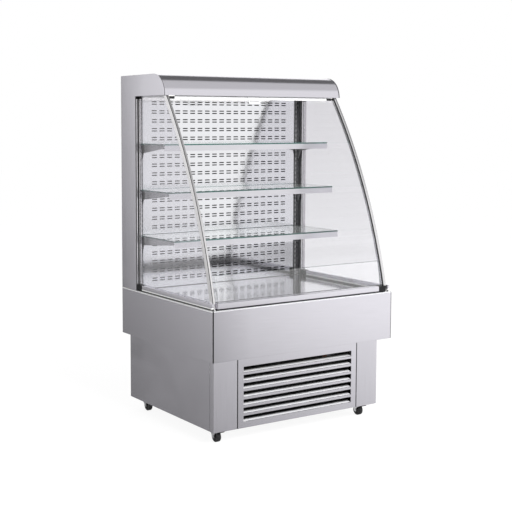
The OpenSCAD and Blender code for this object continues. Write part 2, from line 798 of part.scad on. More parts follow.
module rail_end_caps() {
  x1 = side_rail_inner - 0.5;
  color("black") {
    difference() {
      union() {
        block(x1 - corner_block_width + 0.3, x1, front_rail_y0, front_rail_y1, rail_bottom, rail_top);
        block(x1 - corner_block_width + 0.3, x1, front_rail_y0 + 8, front_rail_y1, liner_top, rail_bottom);
      }
      front_pane(groove_play);
    }
    pair() {
      rail_length(side_rail_rear + eps, column_front - eps);
      difference() {
        block(channel_x0, channel_x1, channel_front, column_front, canopy_bottom - 12, canopy_bottom);
        block(glass_inner - groove_play, glass_outer + groove_play, front_y, column_front - 0.6,
              canopy_bottom - 13, canopy_bottom + 1);
      }
    }
  }
}

module front_glass() {
  color([0.8, 0.9, 0.9, 0.3]) front_pane(0);
}

// Outline of a side panel: a column with the canopy end reaching forward.
module side_outline() {
  translate([column_front, tub_top + 1]) square([column_depth - sheet, case_height - tub_top - 1]);
  translate([canopy_centre_y, canopy_bottom]) square([back_y - sheet - canopy_centre_y, canopy_height]);
  intersection() {
    translate([canopy_centre_y, canopy_bottom]) circle(r = canopy_height, $fn = 128);
    translate([canopy_front, canopy_bottom]) square([canopy_height, canopy_height]);
  }
}

module side_panel(side) {
  color("silver") mirror([side < 0 ? 1 : 0, 0, 0]) {
    along_x(half_width - sheet, half_width) side_outline();
    block(glass_inner, half_width, column_front, column_front + sheet, tub_top + 1, canopy_bottom);
    block(post_x0, half_width, canopy_front + cover_setback + sheet + eps, column_front + sheet,
          canopy_bottom, canopy_bottom + sheet);
  }
}
module side_panel_left() { side_panel(-1); }
module side_panel_right() { side_panel(1); }

module back_outer_sheet() {
  color("silver") block(-half_width, half_width, back_y - sheet, back_y, base_top, case_height);
}

module back_insulation() {
  color("khaki") {
    block(-half_width + sheet, half_width - sheet, duct_back, back_y - sheet,
          tub_top, duct_top + liner_sheet);
    block(-half_width + 10, half_width - 10, duct_back, back_y - sheet, foam_top, tub_top);
    pair() block(glass_inner, half_width - sheet, column_front + sheet, duct_back, tub_top, canopy_bottom);
  }
}

module inner_back_panel() {
  x1 = glass_inner - upright_width;
  color("gainsboro") along_y(inner_back, inner_back + liner_sheet) difference() {
    translate([-x1, tub_top]) square([2 * x1, canopy_bottom - tub_top]);
    for (i = [0:cell_columns - 1], j = [0:cell_rows - 1], k = [-1, 1])
      translate([cell_x0 + (i - (cell_columns - 1) / 2) * cell_pitch_x - cell_slot_length / 2,
                 cell_z0 + j * cell_pitch_z + (k * cell_pair_spacing - cell_slot_height) / 2])
        square([cell_slot_length, cell_slot_height]);
  }
}

module shelf_uprights() {
  x0 = glass_inner - upright_width;
  color("dimgray") pair() {
    along_y(inner_back - 2, inner_back) difference() {
      translate([x0, upright_z0]) square([upright_width, upright_z1 - upright_z0]);
      for (i = [-slots_below:slots_above])
        translate([bracket_x - slot_width / 2, slot_phase + i * slot_pitch - slot_height / 2])
          square([slot_width, slot_height]);
    }
    block(glass_inner - 2, glass_inner, column_front + sheet, inner_back, upright_z0, upright_z1);
    block(x0, x0 + 2, inner_back, inner_back + 14, upright_z0, upright_z1);
    block(glass_inner - 6, glass_inner, inner_back, duct_back, upright_z0, upright_z1);
  }
}

// Canopy

module canopy_cover() {
  r1 = canopy_height - cover_setback;
  r0 = r1 - sheet;
  x1 = half_width - sheet;
  color("silver") {
    along_x(-x1, x1) union() {
      intersection() {
        translate([canopy_centre_y, canopy_bottom]) difference() {
          circle(r = r1, $fn = 128);
          circle(r = r0, $fn = 128);
        }
        translate([canopy_front, canopy_bottom]) square([canopy_height, canopy_height]);
      }
      translate([canopy_centre_y, canopy_bottom + r0]) square([back_y - sheet - canopy_centre_y, sheet]);
    }
    block(-post_x0 + 1, post_x0 - 1, canopy_front + cover_setback, canopy_front + cover_setback + hem_depth,
          canopy_bottom, canopy_bottom + sheet);
  }
}

module canopy_ceiling() {
  x1 = ceiling_half;
  wall = liner_sheet;
  color("gainsboro") {
    block(-x1, x1, comb_y1, inner_back + wall, canopy_bottom, canopy_bottom + wall);
    block(-x1, x1, comb_y1, comb_y1 + wall, canopy_bottom, canopy_bottom + 30);
    block(-x1, x1, led_y - 12, comb_y0, canopy_bottom + 11, canopy_bottom + 11 + wall);
    block(-x1, x1, comb_y0 - wall, comb_y0, canopy_bottom, duct_top);
    block(-x1, x1, comb_y0 - wall, duct_back, duct_top, duct_top + wall);
    pair() block(x1 - wall, x1, comb_y0, inner_back, canopy_bottom, duct_top);
    pair() block(x1 - wall, half_width - sheet, comb_y0, column_front,
                 canopy_bottom + 20, canopy_bottom + 20 + wall);
  }
}

module air_honeycomb() {
  x1 = ceiling_half - liner_sheet;
  n = floor((2 * x1 - 6) / 10);
  color("white") translate([0, 0, canopy_bottom + 1]) linear_extrude(14) difference() {
    translate([-x1, comb_y0]) square([2 * x1, comb_y1 - comb_y0]);
    for (i = [0:n - 1], j = [0:2])
      translate([-(n - 1) * 5 + i * 10, comb_y0 + 9 + j * 11]) circle(r = 4.2, $fn = 6);
  }
}

module led_light() {
  x1 = glass_inner - 30;
  color("white") {
    rod_x(-x1, x1, led_y, canopy_bottom, led_radius);
    block(-x1, x1, led_y - 5, led_y + 5, canopy_bottom, canopy_bottom + 11);
  }
}

module blind_brackets() {
  color("black") pair() difference() {
    union() {
      block(half_width - sheet - 3, half_width - sheet, roller_y - 15, roller_y + 15,
            roller_z - 20, roller_z + 15);
      rod_x(roller_half + 2, half_width - sheet, roller_y, roller_z, 9);
    }
    rod_x(roller_half + 1, half_width - sheet - 3, roller_y, roller_z, pin_radius + running_play);
  }
}

module blind_roller() {
  color("silver") {
    rod_x(-roller_half, roller_half, roller_y, roller_z, roller_radius);
    rod_x(-half_width + sheet + 6, half_width - sheet - 6, roller_y, roller_z, pin_radius);
  }
}

module blind_bar() {
  y0 = blind_y - blind_bar_depth / 2;
  y1 = blind_y + blind_bar_depth / 2;
  z0 = bar_top - blind_bar_height;
  color("white") {
    block(-bar_half + bar_end_length, bar_half - bar_end_length, y0, y1, z0, bar_top);
    block(-bar_half, bar_half, y0 + 1.5, y1 - 1.5, z0 + 1, bar_top - 1);
  }
}

module blind_handle() {
  y1 = blind_y - blind_bar_depth / 2;
  z0 = bar_top - blind_bar_height - handle_drop;
  z1 = bar_top - 1;
  color("white") along_y(y1 - handle_depth, y1) difference() {
    polygon([[-handle_half, z1], [7 - handle_half, z0], [handle_half - 7, z0], [handle_half, z1]]);
    polygon([[6 - handle_half, z1 - 5], [11 - handle_half, z0 + 5],
             [handle_half - 11, z0 + 5], [handle_half - 6, z1 - 5]]);
  }
}

module blind_web() {
  color("white") block(-web_half, web_half, blind_y - web_thickness, blind_y, bar_top, roller_z);
}

// Side glass

module side_glass() {
  color([0.8, 0.9, 0.9, 0.3]) pair() along_x(glass_inner, glass_outer) intersection() {
    translate([arc_y, arc_z]) circle(r = post_arc_radius - 9, $fn = 360);
    translate([front_y, rail_top - groove_depth + eps])
      square([column_front - 1 - front_y, canopy_bottom - rail_top + groove_depth - 2 * eps]);
  }
}

// Section of a front post, bevelled at its two front corners; the radius runs along the first axis.
module post_section() {
  r0 = post_arc_radius - glass_post_depth;
  r1 = post_arc_radius;
  polygon([[r0, post_x0], [r1 - post_corner, post_x0], [r1, post_x0 + post_corner],
           [r1, post_x1 - post_corner], [r1 - post_corner, post_x1], [r0, post_x1]]);
}

module glass_posts() {
  color("silver") pair() {
    difference() {
      intersection() {
        translate([0, arc_y, arc_z]) rotate([0, 90, 0]) rotate_extrude($fn = 360) post_section();
        block(post_x0 - 1, post_x1 + 1, front_y, case_depth, foot_z, canopy_bottom);
      }
      along_x(glass_inner - groove_play, glass_outer + groove_play)
        post_band(post_arc_radius - glass_post_depth - 1, post_arc_radius - 8,
                  rail_top - groove_depth, canopy_bottom + 1);
    }
    difference() {
      block(channel_x0, channel_x1, channel_front, column_front, rail_top, canopy_bottom - 12);
      block(glass_inner - groove_play, glass_outer + groove_play, channel_front - 1, column_front - 0.6,
            rail_top - 1, canopy_bottom);
      block(channel_recess_x0, channel_recess_x1, channel_front - 1, column_front - 1,
            rail_top - 1, canopy_bottom);
    }
  }
}

// Shelves, counted from the bottom: 0, 1, 2

function shelf_z(i) = shelf_bottom_z + i * shelf_pitch;
function shelf_front(i) = shelf_rear - bottom_shelf_depth + i * shelf_depth_step;

module shelf_pane(i) {
  color([0.75, 0.9, 0.88, 0.4])
    block(-shelf_half, shelf_half, shelf_front(i), shelf_rear,
          shelf_z(i) - shelf_glass_thickness, shelf_z(i));
}
module shelf_glass_bottom() { shelf_pane(0); }
module shelf_glass_middle() { shelf_pane(1); }
module shelf_glass_top() { shelf_pane(2); }

module shelf_bracket(i) {
  z = shelf_z(i) - shelf_glass_thickness;
  y1 = inner_back - 2;
  y0 = shelf_front(i) + 20;
  slot_z = slot_phase + i * shelf_pitch;
  along_x(bracket_x - bracket_thickness / 2, bracket_x + bracket_thickness / 2) {
    polygon([[y1, z], [y1, z - bracket_tail], [y1 - 14, z - bracket_tail],
             [y1 - bracket_root, z - bracket_drop], [y0, z - 14], [y0, z]]);
    for (k = [0:-1:-2]) translate([y1 - 0.5, slot_z + k * slot_pitch])
      polygon([[0, -5], [5, -5], [5, -7.5], [8, -7.5], [8, 4], [0, 4]]);
  }
  block(bracket_x - 12, bracket_x + bracket_thickness / 2, y0, y1, z - 2, z);
}

module shelf_brackets() {
  color("gray") pair() for (i = [0:2]) shelf_bracket(i);
}

module ticket_strips() {
  color("white") for (i = [0:2]) {
    y = shelf_front(i) + 0.5;
    z = shelf_z(i) - shelf_glass_thickness;
    block(-shelf_half, shelf_half, y, y + 1.6, z - ticket_height, z);
    block(-shelf_half, shelf_half, y, y + 16, z - 1.2, z);
    block(-shelf_half, shelf_half, y - 1.2, y, z - ticket_height, z - ticket_height + 2);
  }
}

// The whole case

base_pan();
base_side_panels();
base_posts();
front_grille();
rear_vent_panel();
compressor();
condenser_coil();
condenser_shroud();
condenser_fan_motor();
condenser_fan();
refrigerant_lines();
control_panel();
power_switch();
caster_plates();
caster_fork_fl();
caster_fork_fr();
caster_fork_rl();
caster_fork_rr();
caster_wheel_fl();
caster_wheel_fr();
caster_wheel_rl();
caster_wheel_rr();
brake_lever_left();
brake_lever_right();
tub_front_panel();
tub_side_panels();
tub_insulation();
tub_liner();
evaporator_coil();
evaporator_fan_plate();
evaporator_fan_left();
evaporator_fan_right();
deck_plates();
return_grille();
front_rail();
side_rails();
rail_end_caps();
front_glass();
side_panel_left();
side_panel_right();
back_outer_sheet();
back_insulation();
inner_back_panel();
shelf_uprights();
canopy_cover();
canopy_ceiling();
air_honeycomb();
led_light();
blind_brackets();
blind_roller();
blind_bar();
blind_handle();
blind_web();
side_glass();
glass_posts();
shelf_glass_top();
shelf_glass_middle();
shelf_glass_bottom();
shelf_brackets();
ticket_strips();
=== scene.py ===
import math

import bmesh
import bpy
from bpy.props import FloatProperty, FloatVectorProperty, PointerProperty
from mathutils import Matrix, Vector


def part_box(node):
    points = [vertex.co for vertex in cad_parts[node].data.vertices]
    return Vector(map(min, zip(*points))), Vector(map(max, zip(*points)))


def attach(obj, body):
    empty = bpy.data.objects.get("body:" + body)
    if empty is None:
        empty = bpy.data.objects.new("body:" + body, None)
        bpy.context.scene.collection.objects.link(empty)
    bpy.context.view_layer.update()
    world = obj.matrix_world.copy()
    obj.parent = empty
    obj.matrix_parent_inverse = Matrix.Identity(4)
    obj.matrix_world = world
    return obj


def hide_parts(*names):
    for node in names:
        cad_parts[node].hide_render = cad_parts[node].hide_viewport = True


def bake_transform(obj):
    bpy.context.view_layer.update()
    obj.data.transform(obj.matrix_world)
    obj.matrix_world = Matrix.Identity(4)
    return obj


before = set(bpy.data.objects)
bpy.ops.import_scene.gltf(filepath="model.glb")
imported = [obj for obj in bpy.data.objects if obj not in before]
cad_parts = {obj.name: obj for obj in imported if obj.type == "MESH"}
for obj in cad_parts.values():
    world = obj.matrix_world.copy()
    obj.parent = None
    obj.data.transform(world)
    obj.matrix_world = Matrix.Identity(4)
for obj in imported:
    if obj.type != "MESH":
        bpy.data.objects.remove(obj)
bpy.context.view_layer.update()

bl_info = {
    "name": "Refrigerated display case",
    "version": (1, 0, 0),
    "blender": (4, 5, 0),
    "location": "3D view > Sidebar > Display case",
    "description": "Finishes and fittings of an open-front refrigerated display case",
    "category": "Object",
}


# Values that a user may change

def colour(name, description, default):
    return FloatVectorProperty(name=name, description=description, default=default, size=3,
                               min=0.0, max=1.0, subtype="COLOR")


def length(name, description, default, low=0.0, high=10.0):
    return FloatProperty(name=name, description=description, default=default, min=low, max=high,
                         subtype="DISTANCE", unit="LENGTH")


def share(name, description, default, high=1.0):
    return FloatProperty(name=name, description=description, default=default, min=0.0, max=high,
                         subtype="FACTOR")


def power(name, description, default, high):
    return FloatProperty(name=name, description=description, default=default, min=0.0, max=high)


class SheetMetal(bpy.types.PropertyGroup):
    outer: colour("Outer steel", "Reflected colour of the outer brushed sheets", (0.70, 0.685, 0.735))
    inner: colour("Inner steel", "Reflected colour of the deck and the rear wall", (0.85, 0.855, 0.88))
    zinc: colour("Zinc", "Colour of zinc-plated and galvanised steel", (0.62, 0.63, 0.64))
    roughness: share("Brushed roughness", "Roughness of the brushed sheets", 0.20)
    deck_roughness: share("Deck roughness", "Roughness of the polished deck", 0.09)
    grain: share("Grain", "Strength of the brushing lines", 0.05)
    edge: length("Fold radius", "Radius of a folded sheet edge", 0.0012, 0.0, 0.005)


class Glazing(bpy.types.PropertyGroup):
    front_haze: share("Front glass haze", "White veil over the front glass", 0.03)
    side_haze: share("Side glass haze", "White veil over the side glass", 0.04)
    shelf_haze: share("Shelf haze", "White veil over the shelves", 0.10)
    edge: colour("Glass edge", "Colour seen in a cut glass edge", (0.16, 0.36, 0.33))


class Trim(bpy.types.PropertyGroup):
    black: colour("Black plastic", "Colour of moulded black parts", (0.012, 0.012, 0.013))
    upright: colour("Upright paint", "Colour of the slotted uprights", (0.085, 0.086, 0.090))
    white: colour("White trim", "Colour of white rails, strips and the blind bar", (0.86, 0.86, 0.87))
    fabric: colour("Blind fabric", "Colour of the night blind web", (0.55, 0.56, 0.57))
    lamp: power("Lamp strength", "Light given by the lamp cover", 1.2, 50.0)
    screw: length("Screw head radius", "Radius of the panel screw heads", 0.0038, 0.002, 0.008)
    tread: length("Tread rounding", "Rounding of the wheel tread", 0.003, 0.001, 0.006)


class Studio(bpy.types.PropertyGroup):
    floor: colour("Floor", "Colour of the studio floor", (0.86, 0.86, 0.86))
    backdrop: share("Backdrop", "Brightness of the seamless backdrop", 1.0, 2.0)
    fill: share("Fill", "Brightness of the light from all around", 0.60, 3.0)
    overhead: power("Overhead light", "Power of the overhead soft light", 170.0, 2000.0)
    side: power("Side light", "Power of the soft light from the front right", 60.0, 2000.0)


GROUPS = {"case_metal": SheetMetal, "case_glass": Glazing, "case_trim": Trim, "case_studio": Studio}


def values(name):
    return getattr(bpy.context.scene, name)


# Shader building

def set_inputs(tree, node, inputs):
    """Each entry of inputs is a value, or an output to link."""
    for key, value in inputs.items():
        if isinstance(value, bpy.types.NodeSocket):
            tree.links.new(value, node.inputs[key])
        else:
            node.inputs[key].default_value = value


def put(tree, kind, inputs=None, **settings):
    """Adds a node with its settings and inputs."""
    node = tree.nodes.new(kind)
    for key, value in settings.items():
        setattr(node, key, value)
    set_inputs(tree, node, inputs or {})
    return node


def rgba(c):
    return (c[0], c[1], c[2], 1.0)


def math_node(tree, operation, *terms):
    return put(tree, "ShaderNodeMath", dict(enumerate(terms)), operation=operation).outputs[0]


def times(tree, a, b):
    return math_node(tree, "MULTIPLY", a, b)


def plus(tree, a, b):
    return math_node(tree, "ADD", a, b)


def minus(tree, a, b):
    return math_node(tree, "SUBTRACT", a, b)


def larger(tree, a, b):
    return math_node(tree, "MAXIMUM", a, b)


def unsigned(tree, value):
    return math_node(tree, "ABSOLUTE", value)


def axes(tree, vector):
    """The three coordinates of a place or a direction."""
    return put(tree, "ShaderNodeSeparateXYZ", {0: vector}).outputs


def facing(tree):
    """The three coordinates of the direction that the surface faces."""
    return axes(tree, tree.nodes.new("ShaderNodeTexCoord").outputs["Normal"])


def mix_colour(tree, factor, a, b, blend_type="MIX"):
    mixed = put(tree, "ShaderNodeMix", {0: factor, 6: a, 7: b}, data_type="RGBA", blend_type=blend_type)
    return mixed.outputs[2]


def shaded(tree, tone, shade):
    return mix_colour(tree, 1.0, tone, shade, "MULTIPLY")


def relief(tree, height, strength, distance=0.0003):
    """The normal of a surface with small heights."""
    bump = put(tree, "ShaderNodeBump", {"Strength": strength, "Distance": distance, "Height": height})
    return bump.outputs[0]


def span(tree, value, low, high, to_low=0.0, to_high=1.0, smooth=False):
    """The value mapped from low..high to to_low..to_high and held at the ends."""
    node = put(tree, "ShaderNodeMapRange", {"Value": value, "From Min": low, "From Max": high,
                                            "To Min": to_low, "To Max": to_high}, clamp=True)
    node.interpolation_type = "SMOOTHSTEP" if smooth else "LINEAR"
    return node.outputs["Result"]


def new_group(name, inputs, outputs):
    """An empty shader group with named sockets; returns its tree, input node and output node."""
    tree = bpy.data.node_groups.new(name, "ShaderNodeTree")
    kinds = {"v": "NodeSocketVector", "f": "NodeSocketFloat", "c": "NodeSocketColor"}
    for socket, (kind, default) in inputs.items():
        made = tree.interface.new_socket(name=socket, in_out="INPUT", socket_type=kinds[kind])
        made.default_value = default
    for socket, kind in outputs.items():
        tree.interface.new_socket(name=socket, in_out="OUTPUT", socket_type=kinds[kind])
    return tree, tree.nodes.new("NodeGroupInput").outputs, tree.nodes.new("NodeGroupOutput")


def brushed_grain():
    """Fine parallel lines of brushed sheet: a shade factor near one and a height."""
    tree, given, result = new_group(
        "Brushed grain",
        {"Place": ("v", (0, 0, 0)), "Stretch": ("v", (8, 600, 600)), "Strength": ("f", 0.05)},
        {"Shade": "f", "Height": "f"})
    scaled = put(tree, "ShaderNodeVectorMath", {0: given["Place"], 1: given["Stretch"]}, operation="MULTIPLY")
    lines = put(tree, "ShaderNodeTexNoise", {"Vector": scaled.outputs[0], "Scale": 1.0, "Detail": 3.0,
                                             "Roughness": 0.6})
    centred = minus(tree, lines.outputs[0], 0.5)
    depth = times(tree, centred, given["Strength"])
    tree.links.new(plus(tree, times(tree, depth, 4.0), 1.0), result.inputs["Shade"])
    tree.links.new(lines.outputs[0], result.inputs["Height"])
    return tree


def smudges():
    """Broad soft patches where hands and cloths have been."""
    tree, given, result = new_group(
        "Smudges", {"Place": ("v", (0, 0, 0)), "Scale": ("f", 5.0), "Amount": ("f", 0.5)}, {"Mask": "f"})
    broad = put(tree, "ShaderNodeTexNoise", {"Vector": given["Place"], "Scale": given["Scale"],
                                             "Detail": 4.0, "Roughness": 0.55, "Distortion": 0.6})
    soft = span(tree, broad.outputs[0], 0.42, 0.68, smooth=True)
    tree.links.new(times(tree, soft, given["Amount"]), result.inputs["Mask"])
    return tree


def fine_speckle():
    """The small even texture of moulded plastic, powder paint, foam and cast parts."""
    tree, given, result = new_group(
        "Fine speckle", {"Place": ("v", (0, 0, 0)), "Scale": ("f", 900.0), "Strength": ("f", 0.1)},
        {"Shade": "f", "Height": "f"})
    grains = put(tree, "ShaderNodeTexNoise", {"Vector": given["Place"], "Scale": given["Scale"],
                                              "Detail": 2.0, "Roughness": 0.5})
    centred = minus(tree, grains.outputs[0], 0.5)
    tree.links.new(plus(tree, times(tree, centred, given["Strength"]), 1.0), result.inputs["Shade"])
    tree.links.new(grains.outputs[0], result.inputs["Height"])
    return tree


def woven_threads():
    """A plain weave: two crossing sets of threads."""
    tree, given, result = new_group(
        "Woven threads", {"Place": ("v", (0, 0, 0)), "Pitch": ("f", 0.0012)}, {"Shade": "f", "Height": "f"})
    parts = axes(tree, given["Place"])
    turn = math_node(tree, "DIVIDE", 2 * math.pi, given["Pitch"])
    warp = math_node(tree, "SINE", times(tree, parts[0], turn))
    weft = math_node(tree, "SINE", times(tree, parts[2], turn))
    both = times(tree, warp, weft)
    tree.links.new(plus(tree, times(tree, both, 0.06), 0.96), result.inputs["Shade"])
    tree.links.new(both, result.inputs["Height"])
    return tree


EFFECTS = {"Brushed grain": brushed_grain, "Smudges": smudges, "Fine speckle": fine_speckle,
           "Woven threads": woven_threads}


def effect(tree, name, inputs):
    """Places a shared effect in a material's tree, building it on first use."""
    group = bpy.data.node_groups.get(name) or EFFECTS[name]()
    return put(tree, "ShaderNodeGroup", inputs, node_tree=group)


def bare_material(name):
    """A material and its empty tree."""
    material = bpy.data.materials.new(name)
    material.use_nodes = True
    material.node_tree.nodes.clear()
    return material, material.node_tree


def blank_material(name):
    """A material with its tree, its surface shader and the piece's own coordinates."""
    material, tree = bare_material(name)
    surface = tree.nodes.new("ShaderNodeBsdfPrincipled")
    put(tree, "ShaderNodeOutputMaterial", {0: surface.outputs[0]})
    place = tree.nodes.new("ShaderNodeTexCoord").outputs["Object"]
    return material, tree, surface, place


def brushed(name, base, roughness, stretch, strength, smudge=0.5, bump=0.03, shade_of=None):
    """Brushed or ground metal sheet with lines along one direction, and a shade over it."""
    material, tree, surface, place = blank_material(name)
    grain = effect(tree, "Brushed grain", {"Place": place, "Stretch": stretch, "Strength": strength})
    hands = effect(tree, "Smudges", {"Place": place, "Scale": 4.0, "Amount": smudge})
    shade = shaded(tree, rgba(base), grain.outputs["Shade"])
    if shade_of is not None:
        shade = shaded(tree, shade, shade_of(tree, place))
    rough = plus(tree, times(tree, hands.outputs["Mask"], 0.05), roughness)
    rough = plus(tree, rough, times(tree, grain.outputs["Height"], 0.04))
    set_inputs(tree, surface, {"Base Color": shade, "Metallic": 1.0, "Roughness": rough,
                               "Normal": relief(tree, grain.outputs["Height"], bump, 0.0002)})
    return material


def moulded(name, base, roughness, scale=900.0, strength=0.10, bump=0.10, metallic=0.0, shine=0.5):
    """Moulded plastic, rubber, paint or cast metal with a fine even texture."""
    material, tree, surface, place = blank_material(name)
    grains = effect(tree, "Fine speckle", {"Place": place, "Scale": scale, "Strength": strength})
    hands = effect(tree, "Smudges", {"Place": place, "Scale": 9.0, "Amount": 0.6})
    shade = shaded(tree, rgba(base), grains.outputs["Shade"])
    rough = plus(tree, times(tree, hands.outputs["Mask"], 0.08), roughness)
    set_inputs(tree, surface, {"Base Color": shade, "Metallic": metallic, "Roughness": rough,
                               "Normal": relief(tree, grains.outputs["Height"], bump),
                               "Specular IOR Level": shine})
    return material


def two_tone(name, inside, outside, mask_of, roughness, metallic=(0.0, 0.0), scale=900.0, shade_of=None,
             lines=None):
    """One piece with two colours, used for two finishes and for painted highlights and shade, divided by its
    own coordinates or faces, and a painted shade over both.
    """
    material, tree, surface, place = blank_material(name)
    if lines is None:
        grains = effect(tree, "Fine speckle", {"Place": place, "Scale": scale, "Strength": 0.08})
    else:
        grains = effect(tree, "Brushed grain", {"Place": place, "Stretch": lines, "Strength": 0.05})
    mask = mask_of(tree, place)
    base = mix_colour(tree, mask, rgba(inside), rgba(outside))
    shade = shaded(tree, base, grains.outputs["Shade"])
    if shade_of is not None:
        shade = shaded(tree, shade, shade_of(tree, place))
    set_inputs(tree, surface, {"Base Color": shade, "Normal": relief(tree, grains.outputs["Height"], 0.06),
                               "Metallic": span(tree, mask, 0, 1, metallic[0], metallic[1]),
                               "Roughness": span(tree, mask, 0, 1, roughness[0], roughness[1])})
    return material


def clear_glass(name, haze, tint, edge, thin_axis, shaded_top=None, ior=1.5, rims=()):
    """Clear glass with a faint veil; cut edges and rims have their own colour, and the top a darker tint as
    painted shade.
    """
    shade_low, shade_high = 0.65, 1.45
    rim_width, rim_fade = 0.0035, 0.0020
    material, tree, surface, place = blank_material(name)
    hands = effect(tree, "Smudges", {"Place": place, "Scale": 6.0, "Amount": 1.0})
    tone = rgba(tint)
    if shaded_top is not None:
        rise = span(tree, axes(tree, place)[2], shade_low, shade_high)
        tone = mix_colour(tree, rise, rgba(tint), rgba(shaded_top))
    base = mix_colour(tree, times(tree, hands.outputs["Mask"], 0.03), tone, (0.9, 0.9, 0.9, 1.0))
    flat = unsigned(tree, facing(tree)[thin_axis])
    base = mix_colour(tree, span(tree, flat, 0.5, 0.7), rgba(edge), base)
    for axis, at in rims:
        rim = span(tree, axes(tree, place)[axis], at - rim_width, at - rim_width + rim_fade)
        base = mix_colour(tree, rim, base, (0.30, 0.33, 0.33, 1.0))
    set_inputs(tree, surface, {"Base Color": base, "Roughness": 0.0, "IOR": ior,
                               "Transmission Weight": 1.0 - haze})
    return material


# Mesh building

def add_piece(name, verts, faces, material, body, slot, smooth, replaces=()):
    """A mesh that rides on a body; smooth is the angle in degrees above which an edge stays sharp."""
    mesh = bpy.data.meshes.new(name)
    mesh.from_pydata([tuple(v) for v in verts], [], faces)
    mesh.validate()
    made = bmesh.new()
    made.from_mesh(mesh)
    bmesh.ops.recalc_face_normals(made, faces=made.faces)
    made.to_mesh(mesh)
    made.free()
    mesh.shade_smooth()
    mesh.set_sharp_from_angle(angle=math.radians(smooth))
    mesh.materials.append(material)
    obj = bpy.data.objects.new(name, mesh)
    bpy.context.scene.collection.objects.link(obj)
    if body:
        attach(obj, body)
    if replaces:
        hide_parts(*replaces)
    return obj


def turned_points(profile, centre, axis, steps):
    """The (radius, along) points of a profile, turned round an axis in equal steps."""
    turn = Vector((0, 0, 1)).rotation_difference(Vector(axis)).to_matrix()
    angles = [2 * math.pi * i / steps for i in range(steps)]
    return [Vector(centre) + turn @ Vector((radius * math.cos(a), radius * math.sin(a), along))
            for a in angles for radius, along in profile]


def lathe(profile, centre, axis, steps=48):
    """Verts and faces of a closed ring of (radius, along) points turned round an axis."""
    faces, count = [], len(profile)
    for i in range(steps):
        j = (i + 1) % steps
        for k in range(count):
            m = (k + 1) % count
            faces.append((i * count + k, j * count + k, j * count + m, i * count + m))
    return turned_points(profile, centre, axis, steps), faces


def solid_lathe(profile, centre, axis, steps=32):
    """As lathe, for an open profile that starts and ends on the axis."""
    verts = turned_points(profile[:1], centre, axis, 1)
    verts += turned_points(profile[1:-1], centre, axis, steps)
    verts += turned_points(profile[-1:], centre, axis, 1)
    last, count, faces = len(verts) - 1, len(profile) - 2, []
    for i in range(steps):
        j = (i + 1) % steps
        a, b = 1 + i * count, 1 + j * count
        faces.append((0, a, b))
        for k in range(count - 1):
            faces.append((a + k, a + k + 1, b + k + 1, b + k))
        faces.append((a + count - 1, last, b + count - 1))
    return verts, faces


def joined(parts):
    """One list of verts and faces out of several."""
    verts, faces = [], []
    for part_verts, part_faces in parts:
        base = len(verts)
        verts += [Vector(v) for v in part_verts]
        faces += [tuple(base + i for i in face) for face in part_faces]
    return verts, faces


def paint(material, *nodes):
    """Gives CAD nodes their finish."""
    for node in nodes:
        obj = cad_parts[node]
        obj.data.materials.clear()
        obj.data.materials.append(material)
        for polygon in obj.data.polygons:
            polygon.material_index = 0
        painted.add(node)


def soften(width, *nodes):
    """Small rounded edges on the sheet metal of CAD nodes, as modifiers."""
    steps = (("Join faces", "WELD", {"merge_threshold": 1e-6}),
             ("Clean flats", "DECIMATE", {"decimate_type": "DISSOLVE", "angle_limit": math.radians(0.5)}),
             ("Fold radius", "BEVEL", {"width": width, "segments": 2, "limit_method": "ANGLE",
                                       "angle_limit": math.radians(30)}),
             ("Even shading", "WEIGHTED_NORMAL", {"keep_sharp": False}))
    for node in nodes:
        for name, kind, settings in steps:
            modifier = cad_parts[node].modifiers.new(name, kind)
            for key, value in settings.items():
                setattr(modifier, key, value)


# Cells in a metre of the brushing lines: few along an axis and many across it
LINES_X, LINES_Y, LINES_Z = (7, 700, 700), (700, 7, 700), (700, 700, 7)
FINE_LINES_X = (7, 500, 500)

painted = set()
finishes = {}


def finish_of(name):
    """A finish that several operators use, made once."""
    if name not in finishes:
        makers = {
            "galvanised": lambda: moulded("Galvanised steel", values("case_metal").zinc, 0.38, 60.0, 0.25,
                                          0.05, 1.0),
            "zinc": lambda: moulded("Bright zinc plating", (0.80, 0.80, 0.82), 0.22, 300.0, 0.10, 0.05, 1.0),
            "black": lambda: moulded("Black moulded plastic", values("case_trim").black, 0.38, shine=0.15),
        }
        finishes[name] = makers[name]()
    return finishes[name]


# The pieces, one operator for each group

